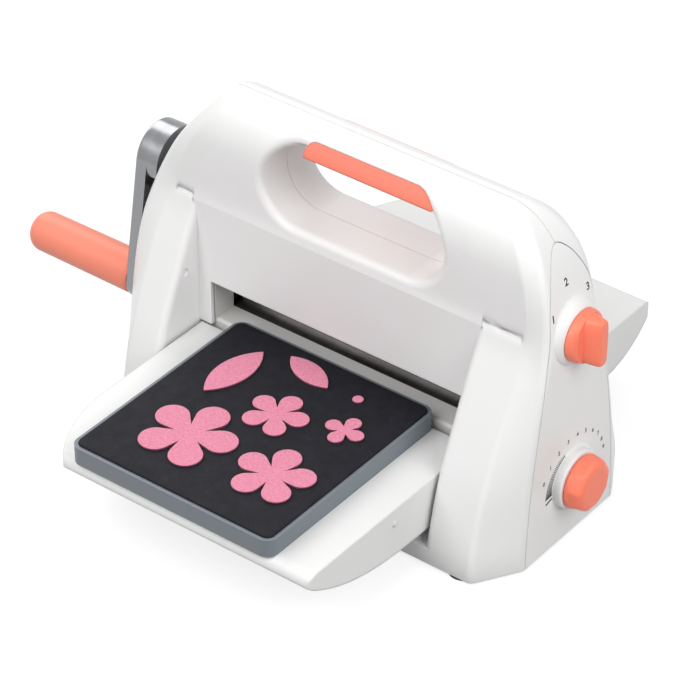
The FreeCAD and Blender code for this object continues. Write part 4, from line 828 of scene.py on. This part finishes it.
@dataclass
class Dials:
    """The two knobs at the right side and the ring that the lower one turns over.

    Each form is a stack of rings about its spindle. A row gives a ring's sizes and, last, its
    height over the inner face of the CAD node, all in millimetres. selector_rows have the reach
    across and along the grip bar and the power of the ring's superellipse, pressure_rows the reach
    and how far its sides are flat, and ring_rows the reach alone.
    """

    around: int = 144
    facets: int = 9
    facet_corner: float = 0.985
    facet_power: float = 60.0
    bar_stretch: float = 2.2
    selector_rows: Rows = (
        (15.5, 15.5, 2.0, 0.0), (15.5, 15.5, 2.0, 1.8), (15.2, 15.4, 2.0, 3.4),
        (13.6, 15.2, 2.05, 4.9), (11.0, 15.1, 2.2, 5.7), (8.8, 15.0, 2.6, 5.3),
        (7.3, 15.0, 3.1, 4.9), (6.3, 14.9, 3.6, 7.0), (4.7, 14.6, 4.0, 12.0),
        (4.0, 14.3, 4.2, 14.2), (3.3, 13.8, 4.2, 15.0), (2.2, 12.4, 4.0, 15.0))
    pressure_rows: Rows = (
        (15.4, 0.0, 3.2), (16.0, 0.0, 3.4), (16.5, 0.2, 5.0), (16.5, 1.0, 6.6),
        (16.0, 1.0, 11.2), (14.9, 1.0, 12.8), (12.6, 0.9, 13.7), (11.4, 0.8, 13.9),
        (10.0, 0.6, 13.9))
    ring_rows: Rows = (
        (20.5, 0.0), (20.5, 0.14), (20.3, 0.17), (18.1, 0.17), (17.9, 0.4), (17.9, 4.9),
        (17.6, 5.5), (17.0, 5.7), (15.0, 5.7))

    def build(self) -> bpy.types.Object:
        """Build the knobs and the ring.

        Returns:
            The ring.
        """
        coral = FINISHES["knob_coral"].material()
        white = FINISHES["ring_plastic"].material()
        self.stand("selector_grip", "selector_knob", "selector", "knob_coral", coral,
                   *self.grip_bar())
        self.stand("pressure_grip", "pressure_knob", "dial", "knob_coral", coral, *self.faceted())
        rows = self.smooth_rows(self.ring_rows, 4)
        return self.stand("dial_boss", "dial_ring", "housing", "ring_plastic", white,
                          rows[:, :1], rows[:, -1], self.turn())

    def turn(self) -> Array:
        """Even angles round a spindle."""
        return np.linspace(0, 2 * math.pi, self.around + 1)[:-1]

    def smooth_rows(self, rows: Rows, steps: int = 5) -> Array:
        """Rows on the even quadratic spline that the given rows control.

        A share t between two middles weighs three rows by half of (1 - t) squared, by a half plus
        t minus t squared, and by half of t squared. The first and last rows count twice.

        Args:
            rows: the rows that control the spline.
            steps: rows to each span of it.

        Returns:
            The spline's rows as an array.
        """
        control = np.array([rows[0], *rows, rows[-1]])
        share = np.linspace(0, 1, steps + 1)[:-1, None]
        first, second, third = control[:-2, None], control[1:-1, None], control[2:, None]
        spans = (first * (1 - share) ** 2 / 2 + second * (0.5 + share - share ** 2)
                 + third * share ** 2 / 2)
        return np.concatenate([control[:1], spans.reshape(-1, control.shape[1]), control[-1:]])

    def grip_bar(self) -> tuple[Array, Array, Array]:
        """The upper knob, a round foot with a straight bar across it.

        Each ring is a superellipse: at an angle a its reach is the power n mean
        (|cos a / across| to the n + |sin a / along| to the n) to the minus 1 / n. The angles crowd
        towards the bar's ends, as even ones do when they are stretched along the bar.

        Returns:
            Reach, heights and angles.
        """
        rows = self.smooth_rows(self.selector_rows)
        across, along, power = (rows[:, index, None] for index in range(3))
        even = self.turn()
        angle = np.arctan2(self.bar_stretch * np.sin(even), np.cos(even))
        share = np.abs(np.cos(angle) / across) ** power + np.abs(np.sin(angle) / along) ** power
        return share ** (-1 / power), rows[:, -1], angle

    def faceted(self) -> tuple[Array, Array, Array]:
        """The lower knob, whose sides are flats with soft corners.

        A flat's reach is cos(pi / n) / cos b, where b is the angle off its middle. It is blended
        with a circle just inside the corners by a high power mean.

        Returns:
            Reach, heights and angles.
        """
        rows = self.smooth_rows(self.pressure_rows)
        angle, power = self.turn(), -self.facet_power
        pitch = 2 * math.pi / self.facets
        off = (angle - math.pi / 2) % pitch - pitch / 2
        flat = math.cos(pitch / 2) / np.cos(off)
        outline = (self.facet_corner ** power + flat ** power) ** (1 / power)
        return rows[:, :1] * (1 + rows[:, 1:2] * (outline - 1)), rows[:, -1], angle

    def stand(self, name: str, node: str, body: str, slot: str, finish: bpy.types.Material,
              reach: Array, height: Array, angle: Array) -> bpy.types.Object:
        """Stand a stack of rings on the inner face of a node, about its axis along x.

        Args:
            name: the piece's name.
            node: the CAD node that it replaces.
            body: the body it rides on.
            slot: the node's material slot; not used.
            finish: its material.
            reach: rings by points, each point's distance from the axis in millimetres.
            height: each ring's distance from the inner face in millimetres.
            angle: each point's angle, anticlockwise seen from outside.

        Returns:
            The new piece.
        """
        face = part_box(node)[0].x
        _, y, z = middle(node)
        rings = np.broadcast_arrays(face + height[:, None] * MM, y + reach * MM * np.cos(angle),
                                    z + reach * MM * np.sin(angle))
        piece = mesh_object(name, *capped_rings(np.stack(rings, -1)), finish)
        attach(piece, body)
        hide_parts(node)
        return piece


@dataclass
class SidePrint:
    """Ticks and plain numbers printed on the right side panel round the two knobs.

    Distances from a knob's axis and sizes of marks are in millimetres. Angles are in degrees,
    anticlockwise from the rear, seen from the right side.
    """

    lift: float = 0.06 * MM
    thickness: float = 0.05 * MM
    selector_places: Rows = ((24.5, 137.0), (31.0, 94.0), (25.0, 54.0))
    selector_height: float = 4.6
    scale_height: float = 2.8
    scale_radius: float = 31.0
    scale_centre: Place = (1.0, -4.85)
    scale_angles: tuple[float, ...] = (151.0, -18.2, 0.3)
    ring_edge: float = 18.3
    ticks: int = 30
    tick_width: float = 0.5
    tick_lengths: Place = (6.0, 2.4)
    tick_angles: Place = (186.0, 112.0)
    tick_crowding: float = 1.25
    end_angle: float = 194.0
    end_width: float = 1.3
    font_share: float = 1.35
    weight_share: float = 0.03
    longest_edge: float = 1.2 * MM

    def build(self, ring: bpy.types.Object) -> None:
        """Print the selector's three places and the pressure dial's scale.

        Args:
            ring: the ring round the pressure knob, whose foot carries some of the print.
        """
        surface = bmesh.new()
        surface.from_mesh(frame["nodes"]["right_side_panel"].data)
        surface.from_mesh(ring.data)
        self.tree = BVHTree.FromBMesh(surface)
        surface.free()
        self.points: list[Array] = []
        self.faces: list[list[int]] = []
        upper = middle("selector_knob")[1:]
        for place, (reach, angle) in enumerate(self.selector_places, 1):
            self.number(str(place), upper, reach, angle, self.selector_height)
        self.scale(middle("dial_ring")[1:])
        self.press("dial_print")

    def scale(self, axis: Array) -> None:
        """The pressure scale beside the ring.

        A wedge of ticks crowds and lengthens towards the firm end: their lengths change evenly
        with the share of the way, and their angles with a power of it. Ten small numbers stand
        outside the wedge on a circle of their own, number k at an angle of a + b k + c k k, and
        a bar marks the end.

        Args:
            axis: y and z of the dial's axis in metres.
        """
        share = np.linspace(0, 1, self.ticks)
        lengths = self.tick_lengths[0] + (self.tick_lengths[1] - self.tick_lengths[0]) * share
        sweep = self.tick_angles[1] - self.tick_angles[0]
        angles = self.tick_angles[0] + sweep * share ** self.tick_crowding
        for length, angle in zip(lengths.tolist(), angles.tolist()):
            self.bar(axis, length, angle, self.tick_width)
        first, pitch, growth = self.scale_angles
        centre = axis + np.array(self.scale_centre) * MM
        for step in range(10):
            angle = first + pitch * step + growth * step ** 2
            self.number(str(step), centre, self.scale_radius, angle, self.scale_height)
        self.bar(axis, self.tick_lengths[0], self.end_angle, self.end_width)

    def add(self, flat: Array, faces: list[list[int]]) -> None:
        """Keep a flat mark for pressing.

        Args:
            flat: y and z of its points in metres.
            faces: its faces, numbered from its own first point.
        """
        start = sum(len(points) for points in self.points)
        self.points.append(flat)
        self.faces += [[start + index for index in face] for face in faces]

    def bar(self, axis: Array, length: float, angle: float, width: float) -> None:
        """A radial bar outside the ring: two lines along its angle, half its width off either way.

        Args:
            axis: y and z of the dial's axis in metres.
            length: its length in millimetres.
            angle: its angle in degrees.
            width: its width in millimetres.
        """
        steps = np.linspace(self.ring_edge, self.ring_edge + length, 4)[:, None]
        along, across = heading(angle), heading(angle + 90.0) * width / 2
        flat = np.concatenate([along * steps - across, along * steps + across]) * MM + axis
        self.add(flat, [[step, step + 1, step + 5, step + 4] for step in range(3)])

    def number(self, text: str, axis: Array, radius: float, angle: float, height: float) -> None:
        """An upright number whose middle lies at a radius and angle round a dial.

        Args:
            text: the figure.
            axis: y and z of the dial's axis in metres.
            radius: distance from the axis in millimetres.
            angle: its angle in degrees.
            height: height of the figure in millimetres.
        """
        curve = bpy.data.curves.new("figure", "FONT")
        curve.body = text
        curve.size = self.font_share * height * MM
        curve.offset = self.weight_share * height * MM
        curve.align_x = "CENTER"
        curve.align_y = "CENTER"
        holder = bpy.data.objects.new("figure", curve)
        mesh = bpy.data.meshes.new_from_object(holder)
        figure = bmesh.new()
        figure.from_mesh(mesh)
        bmesh.ops.triangulate(figure, faces=figure.faces[:])
        long_edges = [edge for edge in figure.edges if edge.calc_length() > self.longest_edge]
        bmesh.ops.subdivide_edges(figure, edges=long_edges, cuts=1)
        bmesh.ops.triangulate(figure, faces=figure.faces[:])
        figure.verts.index_update()
        flat = np.array([vertex.co.xy for vertex in figure.verts])
        faces = [[vertex.index for vertex in face.verts] for face in figure.faces]
        self.add(flat + heading(angle) * radius * MM + axis, faces)
        figure.free()
        bpy.data.objects.remove(holder)
        bpy.data.curves.remove(curve)
        bpy.data.meshes.remove(mesh)

    def press(self, name: str) -> None:
        """Lay every mark on the panel: each point keeps its y and z and moves along x onto it.

        Args:
            name: the piece's name.
        """
        flat = np.concatenate(self.points)
        outside, inwards = CAD_BOX[1][0] + 0.1, Vector((-1, 0, 0))
        hits = [self.tree.ray_cast(Vector((outside, y, z)), inwards)[0] for y, z in flat]
        reach = np.array([np.nan if hit is None else hit.x for hit in hits])
        reach[np.isnan(reach)] = np.nanmedian(reach)
        ink = PrintInk("print_black", (0.02, 0.02, 0.022)).material()
        points = np.column_stack([reach + self.lift, flat])
        piece = mesh_object(name, points, self.faces, ink, smooth=False)
        solid = piece.modifiers.new("thickness", "SOLIDIFY")
        solid.thickness = self.thickness + self.lift
        solid.offset = -1.0
        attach(piece, "housing")


# The studio


@dataclass(frozen=True)
class Lamp:
    """A round soft lamp: its direction in degrees, distance and width in metres, power in watts."""

    name: str
    azimuth: float
    elevation: float
    distance: float
    size: float
    power: float


@dataclass
class Studio:
    """Camera, lamps, floor and backdrop. Points are in millimetres and distances in metres."""

    azimuth: float = 37.78
    elevation: float = 36.10
    lens: float = 187.594
    sensor: float = 36.0
    target: tuple[float, float, float] = (41.47, -21.5, 90.0)
    distance: float = 1.96105
    lamps_aim: tuple[float, float, float] = (32.8, 8.8, 90.0)
    floor_reach: float = 6.0
    floor_drop: float = 0.2 * MM
    floor_bounce: float = 0.2
    floor_shown: float = 0.34
    floor_glow: float = 0.74
    floor_fade: Place = (0.35, 1.1)
    world_power: float = 0.5
    lamps: tuple[Lamp, ...] = (
        Lamp("key_lamp", -14.0, 42.0, 1.7, 1.5, 17.1),
        Lamp("fill_lamp", 80.0, 34.0, 1.5, 1.1, 11.8),
        Lamp("back_lamp", 244.0, 36.0, 1.8, 1.2, 10.3),
    )

    def build(self) -> None:
        """Build the studio."""
        self.camera()
        self.light()
        self.floor()
        self.world()
        bpy.context.scene.view_settings.view_transform = "Standard"
        LOG.info("built the studio")

    def hang(self, name: str, data: bpy.types.ID, aim: Sequence[float], azimuth: float,
             elevation: float, distance: float) -> bpy.types.Object:
        """Put a camera or lamp at a direction and distance from a point, and aim it there.

        The direction is (sin a cos e, -cos a cos e, sin e) for an azimuth a and an elevation e.

        Args:
            name: the object's name.
            data: the camera or lamp.
            aim: the point in millimetres.
            azimuth: degrees from the front towards the right side.
            elevation: degrees above the floor.
            distance: distance from the point in metres.

        Returns:
            The new object.
        """
        turn, rise = math.radians(azimuth), math.radians(elevation)
        back = Vector((math.sin(turn) * math.cos(rise), -math.cos(turn) * math.cos(rise),
                       math.sin(rise)))
        holder = bpy.data.objects.new(name, data)
        holder.location = Vector(aim) * MM + back * distance
        holder.rotation_mode = "QUATERNION"
        holder.rotation_quaternion = (-back).to_track_quat("-Z", "Y")
        bpy.context.scene.collection.objects.link(holder)
        return holder

    def camera(self) -> None:
        """The photograph's camera."""
        data = bpy.data.cameras.new("camera")
        data.lens = self.lens
        data.sensor_width = self.sensor
        data.clip_start, data.clip_end = 0.05, 50.0
        bpy.context.scene.camera = self.hang("camera", data, self.target, self.azimuth,
                                             self.elevation, self.distance)

    def light(self) -> None:
        """Large soft lamps round the object."""
        for lamp in self.lamps:
            data = bpy.data.lights.new(lamp.name, "AREA")
            data.shape = "DISK"
            data.size = lamp.size
            data.energy = lamp.power
            self.hang(lamp.name, data, self.lamps_aim, lamp.azimuth, lamp.elevation,
                      lamp.distance)

    def floor(self) -> None:
        """A wide pale floor that shows white and keeps the object's soft shadow."""
        signs = np.array([[-1, -1], [1, -1], [1, 1], [-1, 1]])
        points = np.column_stack([signs * self.floor_reach, np.full(4, -self.floor_drop)])
        mesh_object("studio_floor", points, [[0, 1, 2, 3]], self.floor_finish())

    def floor_finish(self) -> bpy.types.Material:
        """Diffuse floor with a glow that only camera, mirror and glass rays see.

        As x x + y y grows away from the object, the glow alone is left, so that the floor ends in
        the white of the world.

        Returns:
            The floor's material.
        """
        shader = Shader("studio_floor")
        plain, shade = (shader.node("ShaderNodeBsdfDiffuse", None, {"Color": grey(level)})
                        for level in (self.floor_bounce, self.floor_shown))
        glow, white = (shader.glowing("ShaderNodeEmission", power)
                       for power in (self.floor_glow, 1.0))
        both = shader.node("ShaderNodeAddShader", None, {0: shade.outputs[0], 1: glow.outputs[0]})
        x, y = shader.axis("X"), shader.axis("Y")
        shown = shader.mix_shader((x * x + y * y).ramp(*self.floor_fade), both, white)
        mixed = shader.mix_shader(shader.seen(), plain, shown)
        shader.feed(shader.output.inputs["Surface"], mixed.outputs[0])
        return shader.material

    def world(self) -> None:
        """A pale world, white to camera, mirror and glass rays."""
        world = bpy.data.worlds.new("studio_world")
        world.use_nodes = True
        bpy.context.scene.world = world
        nodes = Nodes(world.node_tree)
        soft, white = (nodes.glowing("ShaderNodeBackground", power)
                       for power in (self.world_power, 1.0))
        mixed = nodes.mix_shader(nodes.seen(), soft, white)
        nodes.node("ShaderNodeOutputWorld", None, {"Surface": mixed.outputs[0]})


def write_sizes() -> None:
    """Log a line at the end of the build; no sizes are written."""
    LOG.info("sizes written")


def main() -> None:
    """Build every sub-assembly in order."""
    logging.basicConfig(level=logging.INFO, format="%(message)s")
    Studio().build()
    dress_nodes()
    CuttingDie().build()
    SidePrint().build(Dials().build())
    write_sizes()


if __name__ == "__main__":
    main()
